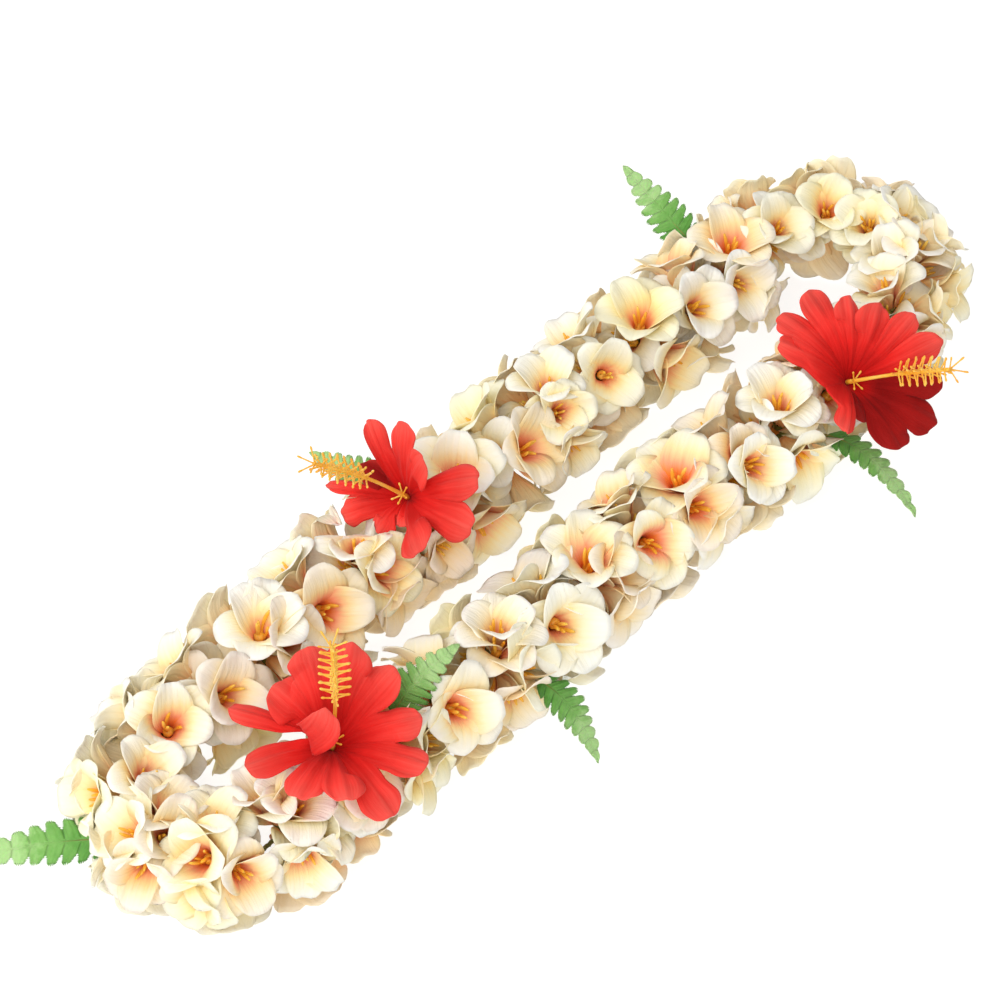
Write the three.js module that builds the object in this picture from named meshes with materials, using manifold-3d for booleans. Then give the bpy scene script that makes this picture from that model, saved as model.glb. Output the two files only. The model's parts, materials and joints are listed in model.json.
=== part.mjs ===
// A flower lei laid out as a long loop: pale freesia-like blossoms in clusters of four on one string,
// with three large red hibiscus and six green fern leaves set among them.
//
// Millimetres, +Z up. The loop lies on the plane z = 0 with its long axis on X.
import * as THREE from "three";
import { mergeVertices } from "three/addons/utils/BufferGeometryUtils.js";
import Module from "manifold-3d";

const wasm = await Module();
wasm.setup();

// The string's loop: a belt line round two circles, lying flat
const NEAR_RADIUS = 38; // the bend at -X
const FAR_RADIUS = 43; // the bend at +X
const BEND_SPACING = 414; // between the centres of the two bends
const STRING_HEIGHT = 32.5; // the blossoms below hold the string this high
const WAVE = 2; // the strands wander sideways by this much
const WAVES = 6; // round the whole loop
const WAVE_START = 0.42; // of one wave
const STRING_RADIUS = 1.3;
const STRING_SIDES = 6;

const CENTRING = [11.8, -1.5, 0]; // puts the middle of the whole lei, leaves and all, over x = y = 0

// The blossom clusters
const CLUSTERS = 34;
const FIRST_CLUSTER = -0.276; // of the spacing, from the middle of the -Y strand
const BLOSSOMS_PER_CLUSTER = 4;
const CLUSTER_GAP = 0.3; // from a cluster to the seam plane between it and the next
const SEAM_TILT = 0.34; // how far the seam planes are turned askew on the strands, radians
const SEAM_YAW = 1.6; // of that tilt, from one side to the other, about the vertical
const SEAM_PITCH = 2; // and about the outward direction
const LEAST_SEAM_TILT = 0.2; // the share of it that is left at the bends
const SHARP_BEND = 0.3; // a string that turns more than this inside a cluster spreads its blossoms outward
const LEAST_HALF_ROOM = 0.8; // either way along the string, where a cluster's seams come together
const SEAM_HARDNESS = 5; // how suddenly a petal is bent back as it nears a seam
const HUB_LENGTH = 13;
const HUB_HALF_WIDTH = 4.6;
const SEAT_GAP = 0.3; // round a hub, to the stem that is seated on it
const BORE_HALF_WIDTH = 1.75;
const BORE_EXTRA = 2; // the cut for the bore is this much longer than the hub

// One blossom: a six-lobed trumpet, its lobes by turns raised and pointed (inner whorl) or spread and blunt
// (outer whorl)
const PETALS = 6;
const PETAL_THICKNESS = 1;
const ROOT_HEIGHT = 2.7; // the trumpet's tip, sunk in the hub
const STEM = { radius: 3.4, height: 8.4 };
const THROAT_HEIGHT = 9.5; // the bottom of the open throat
const NECK = { radius: 7.2, height: 15.5 };
const NOTCH = { radius: 17.3, height: 23.3 };
const RAISED = { radius: 19.5, height: 29 };
const SPREAD = { radius: 23, height: 25 };
const SHOULDER_ANGLE = 20 * THREE.MathUtils.DEG2RAD;
const RIM_OUT = 0.4; // the outer shell's rim, beyond the inner one's
const RIM_DOWN = 0.9; // and below it, in petal thicknesses
const CLOSED_NECK = 0.6; // how wide the neck of a blossom is that doesn't open, as a share
const CLOSED_STAND = 1.12; // and how tall it stands

// How each blossom stands: its direction from the string, its lean and turn, and how wide it opens
const ANGLE_SPREAD = 0.2;
const LEAN_SPREAD = 0.5;
const BEND_ANGLES = [0.55, 1.95, 0.25, -1.2]; // where the string bends sharply
const BEND_SIDES = [1, 0, -1, 0]; // two of those look outward, one to each side
const BEND_LEAN = 0.5; // of those two
const BEND_LEAN_SPREAD = 0.4; // a share of LEAN_SPREAD
const PAIR_REACH = 14; // from the string, beyond which those two keep apart
const PAIR_OVERLAP = 9; // at the string
const OPEN_LEAST = 0.92;
const OPEN_MOST = 1.06;
const CROWDED_OPEN = 0.35; // a share, where there is no room to open

// The hibiscus: twelve lobes, two to a petal, each [angle round the flower, rise, length]
const LOBE_HALF_WIDTH = 8.2;
const LOBE_THICKNESS = 1;
const HIBISCUS_CLEARANCE = 0.5;
const HIBISCUS_HEADROOM = 26; // blossoms that would stand in front of the hibiscus are cut away
const HIBISCUS_MARGIN = 0.7; // the room cut for a hibiscus is this much wider than its lobes
const HIBISCUS_REACH = 95; // clusters farther from its throat than this don't meet it
const LEAST_LEFT = 0.55; // a blossom with less of it left than this is left out
const LOBE_START = 1.2; // from the flower's axis
const KNEE_RISE = 0.32; // a lobe leaves the throat so much steeper than it ends, of the way to upright
const KNEE_LENGTH = 0.46; // a share of the lobe's length
const RING_SHARE = 0.3; // along the lobes, where the sheet starts to divide
const DEEP_CLEFT = 0.5; // between two petals
const SHALLOW_CLEFT = 0.66; // between the two lobes of one petal
const SPINE_SHARE = 0.62;
const SHOULDER_SHARE = 0.8; // where a lobe is widest
const TIP_WIDTH = 0.55; // a share of its shoulders' width
const FULL_LOBE = 40; // lobes shorter than this are narrower too
const STEM_RADII = [1.8, 2.4, 3.2]; // at the hub, below the calyx, and at the throat
const STEM_FOOT = 0.12; // the share of the way from the string to the throat
const CALYX_DEPTH = 7;
const STEM_SIDES = 6;

// The pistils
const PISTIL_LENGTH = 78;
const PISTIL_BOW = 2.2;
const STALK = { heights: [3.4, 20, 40, 60, PISTIL_LENGTH - 6], radii: [1.1, 1.5, 1.6, 1.5, 1.2], sides: 4 };
const BRISTLE_ROWS = 7;
const BRISTLES_ROUND = 4;
const BRUSH = { start: 0.46, end: 0.87, length: 6.2, radius: 0.75 }; // start and end as shares of the length
const STIGMA = { below: 9, upward: 1.6, length: 10, radius: 0.7 }; // below the pistil's tip
const STAR = { height: 9, upward: 0.75, length: 6.5, radius: 0.75 };
const hibiscusFlowers = [
  {
    name: "near",
    station: -5,
    throat: [-168, -36, 60],
    axis: [0.05, 0, 1],
    lobes: [
      [-150, 24, 44], [-120, 22, 42], [-92, 9, 44], [-65, 8, 45], [-38, 20, 44], [-5, 28, 45],
      [25, 36, 46], [53, 40, 46], [84, 42, 44], [113, 20, 46], [147, 76, 42], [180, 22, 42],
    ],
  },
  {
    name: "middle",
    station: 19,
    throat: [-48, 38, 61],
    axis: [-0.63, 0.16, 0.76],
    lobes: [
      [-145, 12, 30], [-114, 27, 44], [-86, 6, 44], [-54, 6, 44], [-25, 40, 32], [5, 37, 42],
      [42, 28, 45], [75, 12, 40], [107, 34, 44], [128, 6, 42], [155, 2, 36], [185, 4, 32],
    ],
  },
  {
    name: "far",
    station: 5,
    throat: [152, -58, 53],
    axis: [0.05, -0.73, 0.68],
    lobes: [
      [-170, 22, 42], [-138, 30, 40], [-108, 35, 44], [-76, 42, 45], [-42, 48, 46], [-4, 44, 49],
      [22, 35, 47], [48, 22, 45], [70, 10, 45], [87, -8, 46], [108, -20, 44], [150, 0, 38],
    ],
  },
];

// The fern leaves: from the hub of a cluster, bent by a control point, to the tip; face is the side shown
const FERN_HALF_WIDTH = 12;
const FERN_STEM_HALF_WIDTH = 1.3;
const FERN_TIP_HALF_WIDTH = 0.5;
const FERN_THICKNESS = 0.9;
const FERN_LOBES = 8; // a side
const FERN_PEAK = 0.55; // of a lobe's length, from the valley before it
const FERN_VALLEY_WIDTH = 0.5; // a share of the leaf's width there
const FERN_SWEEP = 1.6; // the lobes point forward by this much
const FERN_DROOP = 0.12; // of the edges, a share of the width
const FERN_START = 2; // from the string
const FERN_NECK = 0.55; // of the stem's length, up to where it stays narrow
const FERN_CLEARANCE = 0.7;
const FERN_REACH = 110; // clusters farther from a leaf's bend than this don't meet it
const fernWidthAt = (u) => FERN_HALF_WIDTH * 2.2 * u ** 0.45 * (1 - u) ** 0.75; // u runs from stem to tip
const fernLeaves = [
  { name: "a", station: -8, bend: [-262, 28, 30], tip: [-304, 67, 9], face: [-0.2, -0.3, 1], stem: 0.25 },
  { name: "b", station: -4, bend: [-138, -38, 68], tip: [-95, -42, 71], face: [-0.4, -0.3, 1], stem: 0.3 },
  { name: "c", station: -2, bend: [-58, -75, 40], tip: [-67, -102, 8], face: [0.3, -0.6, 1], stem: 0.3 },
  { name: "d", station: 18, bend: [-48, 52, 53], tip: [-57, 96, 53], face: [-0.2, -0.2, 1], stem: 0.35 },
  { name: "e", station: 12, bend: [167, 66, 58], tip: [191, 124, 43], face: [-0.5, -0.2, 1], stem: 0.3 },
  { name: "f", station: 4, bend: [146, -76, 45], tip: [133, -121, 22], face: [0.9, 0.3, 0.5], stem: 0.3 },
];

const Z = new THREE.Vector3(0, 0, 1);
const TURN = 2 * Math.PI;
const LEAST_VOLUME = 0.001; // mm3; less than this is rounding

// A repeatable draw between 0 and 1
const SEED = 20240817;
const MULTIPLIER = 16807;
const MODULUS = 2147483647;
let drawState = SEED;
function draw() {
  drawState = (drawState * MULTIPLIER) % MODULUS;
  return drawState / MODULUS;
}

const mix = THREE.MathUtils.lerp;
const vector = (list) => new THREE.Vector3(...list);
const along = (start, direction, distance) => start.clone().addScaledVector(direction, distance);
const radians = (degrees) => degrees * THREE.MathUtils.DEG2RAD;

// A closed surface from corner points and triangles
function geometryOf(points, triangles) {
  const geometry = new THREE.BufferGeometry();
  const numbers = points.flatMap((p) => p.toArray());
  geometry.setAttribute("position", new THREE.Float32BufferAttribute(numbers, 3));
  geometry.setIndex(triangles.flat());
  return geometry;
}

function solidOf(geometry) {
  const bare = geometry.clone();
  bare.deleteAttribute("normal");
  bare.deleteAttribute("uv");
  const merged = mergeVertices(bare, 1e-4);
  const made = new wasm.Manifold(
    new wasm.Mesh({
      numProp: 3,
      vertProperties: merged.attributes.position.array,
      triVerts: new Uint32Array(merged.index.array),
    }),
  );
  if (made.volume() <= 0) throw new Error("a solid is inside out");
  return made;
}

// The largest connected body of a solid: a cut can leave loose scraps of petal, which are dropped
function largestBody(solid) {
  return solid.decompose().reduce((best, body) => (body.volume() > best.volume() ? body : best));
}

function meshOf(name, solid, material) {
  const { vertProperties, triVerts, numProp } = solid.getMesh();
  const geometry = new THREE.BufferGeometry();
  const position = new THREE.InterleavedBuffer(vertProperties, numProp);
  geometry.setAttribute("position", new THREE.InterleavedBufferAttribute(position, 3, 0));
  geometry.setIndex(new THREE.BufferAttribute(triVerts, 1));
  const mesh = new THREE.Mesh(geometry, material);
  mesh.name = name;
  return mesh;
}

// A thin blade from a grid of mid-surface points, grid[row][column], each face half the thickness off.
// Both faces are split along the same diagonals, so a waved blade doesn't cross itself.
function bladeOf(grid, thickness) {
  const rows = grid.length;
  const columns = grid[0].length;
  const clampTo = (value, count) => Math.min(Math.max(value, 0), count - 1);
  const at = (row, column) => grid[clampTo(row, rows)][clampTo(column, columns)];
  const points = [];
  for (const side of [0.5, -0.5])
    for (let row = 0; row < rows; row++)
      for (let column = 0; column < columns; column++) {
        const acrossVector = at(row, column + 1).clone().sub(at(row, column - 1));
        const lengthVector = at(row + 1, column).clone().sub(at(row - 1, column));
        const normal = acrossVector.cross(lengthVector).normalize();
        points.push(along(at(row, column), normal, side * thickness));
      }
  const index = (side, row, column) => side * rows * columns + row * columns + column;
  const triangles = [];
  for (let row = 0; row + 1 < rows; row++)
    for (let column = 0; column + 1 < columns; column++) {
      const [a, b] = [index(0, row, column), index(0, row, column + 1)];
      const [c, d] = [index(0, row + 1, column), index(0, row + 1, column + 1)];
      const [e, f] = [index(1, row, column), index(1, row, column + 1)];
      const [g, h] = [index(1, row + 1, column), index(1, row + 1, column + 1)];
      triangles.push([a, b, d], [a, d, c], [e, h, f], [e, g, h]);
    }
  const edge = [];
  for (let column = 0; column < columns; column++) edge.push([0, column]);
  for (let row = 1; row < rows; row++) edge.push([row, columns - 1]);
  for (let column = columns - 2; column >= 0; column--) edge.push([rows - 1, column]);
  for (let row = rows - 2; row > 0; row--) edge.push([row, 0]);
  edge.forEach((here, k) => {
    const next = edge[(k + 1) % edge.length];
    const [a, b] = [index(0, ...here), index(0, ...next)];
    const [c, d] = [index(1, ...here), index(1, ...next)];
    triangles.push([a, c, d], [a, d, b]);
  });
  return geometryOf(points, triangles);
}

// A round bar through rings of points, closed with a flat fan at each end
function barOf(centres, radii, sides, guide) {
  const points = [];
  const triangles = [];
  const last = centres.length - 1;
  centres.forEach((centre, n) => {
    const ahead = centres[Math.min(n + 1, last)].clone().sub(centres[Math.max(n - 1, 0)]).normalize();
    const first = guide.clone().cross(ahead).normalize();
    const second = ahead.clone().cross(first);
    for (let s = 0; s < sides; s++) {
      const angle = (s / sides) * TURN;
      const beside = along(centre, first, radii[n] * Math.cos(angle));
      points.push(along(beside, second, radii[n] * Math.sin(angle)));
    }
  });
  for (let n = 0; n < last; n++)
    for (let s = 0; s < sides; s++) {
      const [a, b] = [n * sides + s, n * sides + ((s + 1) % sides)];
      triangles.push([a, b, b + sides], [a, b + sides, a + sides]);
    }
  for (let s = 1; s + 1 < sides; s++) {
    triangles.push([0, s + 1, s]);
    triangles.push([last * sides, last * sides + s, last * sides + s + 1]);
  }
  return solidOf(geometryOf(points, triangles));
}

// The string's line, by the share of its length from the middle of the -Y strand, counter-clockwise
const SIDE_TILT = Math.asin((FAR_RADIUS - NEAR_RADIUS) / BEND_SPACING);
const SIDE_LENGTH = BEND_SPACING * Math.cos(SIDE_TILT);
const FAR_ARC = FAR_RADIUS * (Math.PI + 2 * SIDE_TILT);
const NEAR_ARC = NEAR_RADIUS * (Math.PI - 2 * SIDE_TILT);
const LOOP_LENGTH = 2 * SIDE_LENGTH + FAR_ARC + NEAR_ARC;

function loopPoint(share) {
  let run = (((share % 1) + 1) % 1) * LOOP_LENGTH + SIDE_LENGTH / 2;
  if (run > LOOP_LENGTH) run -= LOOP_LENGTH;
  const onBend = (centre, radius, angle) =>
    new THREE.Vector3(centre + radius * Math.cos(angle), radius * Math.sin(angle), STRING_HEIGHT);
  const near = -BEND_SPACING / 2;
  const far = BEND_SPACING / 2;
  const lower = -Math.PI / 2 - SIDE_TILT; // from a bend's centre to where the -Y strand meets it
  const upper = Math.PI / 2 + SIDE_TILT;
  let point;
  let outward;
  if (run < SIDE_LENGTH) {
    outward = lower;
    point = onBend(near, NEAR_RADIUS, lower).lerp(onBend(far, FAR_RADIUS, lower), run / SIDE_LENGTH);
  } else if ((run -= SIDE_LENGTH) < FAR_ARC) {
    outward = lower + run / FAR_RADIUS;
    point = onBend(far, FAR_RADIUS, outward);
  } else if ((run -= FAR_ARC) < SIDE_LENGTH) {
    outward = upper;
    point = onBend(far, FAR_RADIUS, upper).lerp(onBend(near, NEAR_RADIUS, upper), run / SIDE_LENGTH);
  } else {
    outward = upper + (run - SIDE_LENGTH) / NEAR_RADIUS;
    point = onBend(near, NEAR_RADIUS, outward);
  }
  const wave = WAVE * Math.sin(TURN * (WAVES * share - WAVE_START));
  return point.add(new THREE.Vector3(Math.cos(outward) * wave, Math.sin(outward) * wave, 0));
}

// Between two clusters the string has a corner; inside each cluster it is straight
const wrap = (k) => (k + CLUSTERS) % CLUSTERS;
const corners = Array.from({ length: CLUSTERS }, (_, k) => loopPoint((k + FIRST_CLUSTER - 0.5) / CLUSTERS));
const stations = corners.map((start, k) => {
  const end = corners[wrap(k + 1)];
  const tangent = end.clone().sub(start).normalize();
  return { start, end, tangent, centre: start.clone().lerp(end, 0.5), outward: tangent.clone().cross(Z) };
});
const turnAt = (k) => stations[wrap(k - 1)].tangent.angleTo(stations[k].tangent);

// The seam plane at each corner, turned askew where the string runs straight
const seams = corners.map((_, k) => {
  const square = stations[wrap(k - 1)].tangent.clone().add(stations[k].tangent).normalize();
  const ease = Math.max(LEAST_SEAM_TILT, 1 - turnAt(k) / SHARP_BEND);
  const yaw = SEAM_TILT * ease * (draw() - 0.5) * SEAM_YAW;
  const pitch = SEAM_TILT * ease * (draw() - 0.5) * SEAM_PITCH;
  return square.applyAxisAngle(Z, yaw).applyAxisAngle(stations[k].outward, pitch).normalize();
});

// How far along the string a point may still move before it meets either seam of its cluster. A blossom
// of an outward pair keeps to its own side of the cluster's middle, except close to the hub.
function roomAt(point, k, side) {
  const { start, end, centre, tangent } = stations[k];
  const [first, second] = [seams[k], seams[wrap(k + 1)]];
  const fromMiddle = point.clone().sub(centre).dot(tangent) * side;
  const overlap = mix(PAIR_OVERLAP, -CLUSTER_GAP, Math.min(1, point.distanceTo(centre) / PAIR_REACH));
  return {
    back: side > 0 ? fromMiddle + overlap : point.clone().sub(start).dot(first) / tangent.dot(first),
    ahead: side < 0 ? fromMiddle + overlap : end.clone().sub(point).dot(second) / tangent.dot(second),
  };
}

// Keeps a point between its cluster's seams: what reaches past them is bent back, ever more gently
function keptInCluster(point, k, side) {
  const { back, ahead } = roomAt(point, k, side);
  const half = Math.max((back + ahead) / 2 - CLUSTER_GAP, LEAST_HALF_ROOM);
  const offset = (back - ahead) / 2;
  const bent = offset / (1 + Math.abs(offset / half) ** SEAM_HARDNESS) ** (1 / SEAM_HARDNESS);
  return along(point, stations[k].tangent, bent - offset);
}

// The blossoms of one cluster. Where the string bends sharply, two of them look outward.
function blossomsOf(k) {
  const { tangent, outward, centre } = stations[k];
  const sharp = (turnAt(k) + turnAt(wrap(k + 1))) / 2 > SHARP_BEND;
  const list = [];
  for (let j = 0; j < BLOSSOMS_PER_CLUSTER; j++) {
    let angle = ((j + (k % 2) / 2) / BLOSSOMS_PER_CLUSTER) * TURN;
    let lean = 0;
    let side = 0;
    if (sharp) {
      angle = BEND_ANGLES[j];
      side = BEND_SIDES[j];
      lean = BEND_LEAN * side;
    }
    angle += ANGLE_SPREAD * (draw() - 0.5);
    lean += LEAN_SPREAD * (draw() - 0.5) * (sharp ? BEND_LEAN_SPREAD : 1);
    const turn = TURN * draw();
    const wide = mix(OPEN_LEAST, OPEN_MOST, draw());
    const radial = outward.clone().multiplyScalar(Math.cos(angle)).addScaledVector(Z, Math.sin(angle));
    const axis = along(radial, tangent, lean).normalize();
    const { back, ahead } = roomAt(along(centre, axis, SPREAD.height), k, side);
    const room = Math.min(1, (back + ahead) / (LOOP_LENGTH / CLUSTERS));
    list.push({ axis, turn, side, open: wide * mix(CROWDED_OPEN, 1, room) });
  }
  return list;
}

// One blossom's closed shell: throat, neck and lobed rim inside, the same outside, and the rim's edge
function blossomSolid(k, { axis, turn, side, open }) {
  const { centre, tangent } = stations[k];
  const first = tangent.clone().cross(axis).normalize();
  const second = axis.clone().cross(first);
  const stand = mix(CLOSED_STAND, 1, open);
  const neckRadius = NECK.radius * mix(CLOSED_NECK, 1, open);
  const points = [];
  const add = (radius, height, angle = 0) => {
    const around = first.clone().multiplyScalar(Math.cos(angle + turn));
    around.addScaledVector(second, Math.sin(angle + turn));
    points.push(keptInCluster(along(along(centre, axis, height), around, radius), k, side));
    return points.length - 1;
  };
  const sixth = TURN / PETALS;
  const outline = [
    [NOTCH, -0.5 * sixth],
    [SPREAD, -SHOULDER_ANGLE],
    [SPREAD, SHOULDER_ANGLE],
    [NOTCH, 0.5 * sixth],
    [RAISED, sixth],
  ];
  const rimOf = (out) => {
    const rim = [];
    for (let pair = 0; pair < PETALS; pair += 2)
      for (const [{ radius, height }, angle] of outline) {
        const low = height * stand - RIM_DOWN * PETAL_THICKNESS * out;
        rim.push(add(radius * open + RIM_OUT * out, low, angle + pair * sixth));
      }
    return rim;
  };
  const triangles = [];

  const throat = add(0, THROAT_HEIGHT);
  const neck = [];
  for (let p = 0; p < PETALS; p++) neck.push(add(neckRadius, NECK.height, (p - 0.5) * sixth));
  const inner = rimOf(0);
  const root = add(0, ROOT_HEIGHT);
  const stem = [0, 1, 2].map((pair) => add(STEM.radius, STEM.height, (2 * pair + 0.5) * sixth));
  const outer = rimOf(1);
  for (let pair = 0; pair < 3; pair++) {
    const [left, right, next] = [neck[2 * pair], neck[2 * pair + 1], neck[(2 * pair + 2) % PETALS]];
    const rimAt = (rim, n) => rim[(5 * pair + n) % rim.length];
    triangles.push([throat, left, right], [throat, right, next]);
    triangles.push([left, rimAt(inner, 0), rimAt(inner, 1)], [left, rimAt(inner, 1), right]);
    triangles.push([right, rimAt(inner, 1), rimAt(inner, 2)], [right, rimAt(inner, 2), rimAt(inner, 3)]);
    triangles.push([right, rimAt(inner, 3), rimAt(inner, 4)], [right, rimAt(inner, 4), next]);
    triangles.push([next, rimAt(inner, 4), rimAt(inner, 5)]);
    const nextStem = stem[(pair + 1) % 3];
    triangles.push([root, nextStem, stem[pair]], [stem[pair], nextStem, rimAt(outer, 5)]);
    for (let n = 0; n < 5; n++) triangles.push([stem[pair], rimAt(outer, n + 1), rimAt(outer, n)]);
  }

  inner.forEach((a, n) => {
    const m = (n + 1) % inner.length;
    triangles.push([a, outer[n], outer[m]], [a, outer[m], inner[m]]);
  });
  return solidOf(geometryOf(points, triangles));
}

// A prism with a square section laid along the string in one cluster
function squareBar(k, halfWidth, length) {
  const { centre, tangent, outward } = stations[k];
  const turn = ((k % 2) / 2 / BLOSSOMS_PER_CLUSTER) * TURN;
  const sideways = outward.clone().multiplyScalar(Math.cos(turn)).addScaledVector(Z, Math.sin(turn));
  const frame = new THREE.Matrix4().makeBasis(tangent, sideways, tangent.clone().cross(sideways));
  const box = new THREE.BoxGeometry(length, 2 * halfWidth, 2 * halfWidth);
  return solidOf(box.applyMatrix4(frame.setPosition(centre)));
}

// The string: one closed hexagonal cord through all the hubs
function stringSolid() {
  const points = [];
  const triangles = [];
  corners.forEach((corner, k) => {
    const half = turnAt(k) / 2;
    const sideways = stations[wrap(k - 1)].tangent.clone().add(stations[k].tangent).normalize().cross(Z);
    for (let s = 0; s < STRING_SIDES; s++) {
      const angle = (s / STRING_SIDES) * TURN;
      const across = (STRING_RADIUS * Math.cos(angle)) / Math.cos(half);
      points.push(along(along(corner, sideways, across), Z, STRING_RADIUS * Math.sin(angle)));
    }
  });
  for (let k = 0; k < CLUSTERS; k++)
    for (let s = 0; s < STRING_SIDES; s++) {
      const t = (s + 1) % STRING_SIDES;
      const [a, b] = [k * STRING_SIDES + s, k * STRING_SIDES + t];
      const [c, d] = [wrap(k + 1) * STRING_SIDES + s, wrap(k + 1) * STRING_SIDES + t];
      triangles.push([a, d, b], [a, c, d]);
    }
  return solidOf(geometryOf(points, triangles));
}

// A hibiscus's own directions: its axis, and two across it with the first turned towards +X
function flowerFrame({ throat, axis }) {
  const up = vector(axis).normalize();
  const first = new THREE.Vector3(1, 0, 0).addScaledVector(up, -up.x).normalize();
  return { centre: vector(throat), up, first, second: up.clone().cross(first) };
}

// A point on a lobe's midline: out of the throat steeply, then arching over to the lobe's own rise
function lobePoint(flower, [angle, rise, length], share) {
  const { centre, up, first, second } = flower;
  const kneeAngle = radians(mix(rise, 90, KNEE_RISE));
  const knee = [KNEE_LENGTH * length * Math.cos(kneeAngle), KNEE_LENGTH * length * Math.sin(kneeAngle)];
  const tip = [length * Math.cos(radians(rise)), length * Math.sin(radians(rise))];
  const [a, b, c] = [(1 - share) ** 2, 2 * share * (1 - share), share ** 2];
  const out = a * LOBE_START + b * knee[0] + c * tip[0];
  const high = b * knee[1] + c * tip[1];
  const away = first.clone().multiplyScalar(Math.cos(radians(angle)));
  away.addScaledVector(second, Math.sin(radians(angle)));
  return along(along(centre, away, out), up, high);
}

// The petals as one lobed sheet, its lower face `below` under the midline and its upper face `above` over it
function hibiscusSheet(definition, widen, below, above, straightUp) {
  const flower = flowerFrame(definition);
  const { lobes } = definition;
  const count = lobes.length;
  const middle = [];
  const faces = [];
  const put = (point) => middle.push(point) - 1;
  const centre = put(flower.centre.clone());
  // half-way between lobe i and the next
  const between = (i, share) => {
    const next = lobePoint(flower, lobes[(i + 1) % count], share);
    return lobePoint(flower, lobes[i], share).lerp(next, 0.5);
  };
  const ring = lobes.map((_, i) => put(between(i, RING_SHARE)));
  const clefts = lobes.map((_, i) => put(between(i, i % 2 ? DEEP_CLEFT : SHALLOW_CLEFT)));
  const rim = [];
  lobes.forEach((lobe, i) => {
    const h = (i + count - 1) % count;
    const angle = radians(lobe[0]);
    const side = flower.second.clone().multiplyScalar(Math.cos(angle));
    side.addScaledVector(flower.first, -Math.sin(angle));
    const edge = (share, width) => put(along(lobePoint(flower, lobe, share), side, width));
    const spine = put(lobePoint(flower, lobe, SPINE_SHARE));
    const shoulder = LOBE_HALF_WIDTH * Math.min(1, lobe[2] / FULL_LOBE) + widen;
    const tipShare = 1 + widen / lobe[2];
    const right = [edge(SHOULDER_SHARE, -shoulder), edge(tipShare, -TIP_WIDTH * shoulder)];
    const left = [edge(tipShare, TIP_WIDTH * shoulder), edge(SHOULDER_SHARE, shoulder)];
    const outline = [ring[h], clefts[h], ...right, ...left, clefts[i], ring[i]];
    faces.push([centre, ring[h], ring[i]]);
    outline.forEach((a, n) => faces.push([spine, a, outline[(n + 1) % outline.length]]));
    rim.push(clefts[h], ...right, ...left);
  });
  const normals = middle.map(() => new THREE.Vector3());
  for (const [a, b, c] of faces) {
    const normal = middle[b].clone().sub(middle[a]).cross(middle[c].clone().sub(middle[a]));
    for (const v of [a, b, c]) normals[v].add(normal);
  }
  const lower = middle.map((p, v) => along(p, normals[v].normalize(), -below));
  const upper = middle.map((p, v) => along(p, straightUp ? flower.up : normals[v], above));
  const offset = middle.length;
  const triangles = faces.flatMap(([a, b, c]) => [[a, c, b], [a + offset, b + offset, c + offset]]);
  rim.forEach((a, n) => {
    const b = rim[(n + 1) % rim.length];
    triangles.push([a, b, b + offset], [a, b + offset, a + offset]);
  });
  return solidOf(geometryOf([...lower, ...upper], triangles));
}

// The hibiscus's stem and calyx, from the hub to the throat
function hibiscusStem(definition, grow) {
  const { centre, up } = flowerFrame(definition);
  const foot = stations[wrap(definition.station)].centre.clone().lerp(centre, STEM_FOOT);
  const calyx = along(centre, up, -CALYX_DEPTH);
  const top = along(centre, up, LOBE_START);
  const radii = STEM_RADII.map((radius) => radius + grow);
  return barOf([foot, calyx, top], radii, STEM_SIDES, new THREE.Vector3(1, 0, 0.2));
}

// The pistil: a bare stalk, a brush of short stamens, five stigma tips, and a star of stamens at the throat
function pistilSolid(definition) {
  const { centre, up, first, second } = flowerFrame(definition);
  const stalkAt = (height) => {
    const bow = PISTIL_BOW * Math.sin((height / PISTIL_LENGTH) * Math.PI);
    return along(along(centre, up, height), first, bow);
  };
  let pistil = barOf(STALK.heights.map(stalkAt), STALK.radii, STALK.sides, second);
  const thread = (start, direction, { length, radius }) => {
    const end = along(start, direction, length);
    const guide = Math.abs(direction.dot(up)) > 0.9 ? first : up;
    const sideways = guide.clone().cross(direction).normalize();
    const other = direction.clone().cross(sideways);
    const foot = [0, 1, 2].map((s) => {
      const beside = along(start, sideways, radius * Math.cos((s / 3) * TURN));
      return along(beside, other, radius * Math.sin((s / 3) * TURN));
    });
    pistil = pistil.add(solidOf(geometryOf([...foot, end], [[0, 2, 1], [0, 1, 3], [1, 2, 3], [2, 0, 3]])));
  };
  const faceWay = (n) => {
    const angle = ((n + 0.5) / BRISTLES_ROUND) * TURN;
    return first.clone().multiplyScalar(Math.cos(angle)).addScaledVector(second, Math.sin(angle));
  };
  const circle = Array.from({ length: BRISTLES_ROUND }, (_, n) => n);
  for (let row = 0; row < BRISTLE_ROWS; row++)
    for (const n of circle) {
      const share = (row + (n % 2) / 2) / (BRISTLE_ROWS - 0.5);
      thread(stalkAt(mix(BRUSH.start, BRUSH.end, share) * PISTIL_LENGTH), faceWay(n), BRUSH);
    }
  for (const n of circle) {
    const upward = along(faceWay(n), up, STIGMA.upward).normalize();
    thread(stalkAt(PISTIL_LENGTH - STIGMA.below), upward, STIGMA);
  }
  for (const n of circle) {
    const upward = along(faceWay(n), up, STAR.upward).normalize();
    thread(stalkAt(STAR.height), upward, STAR);
  }
  return pistil;
}

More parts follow.
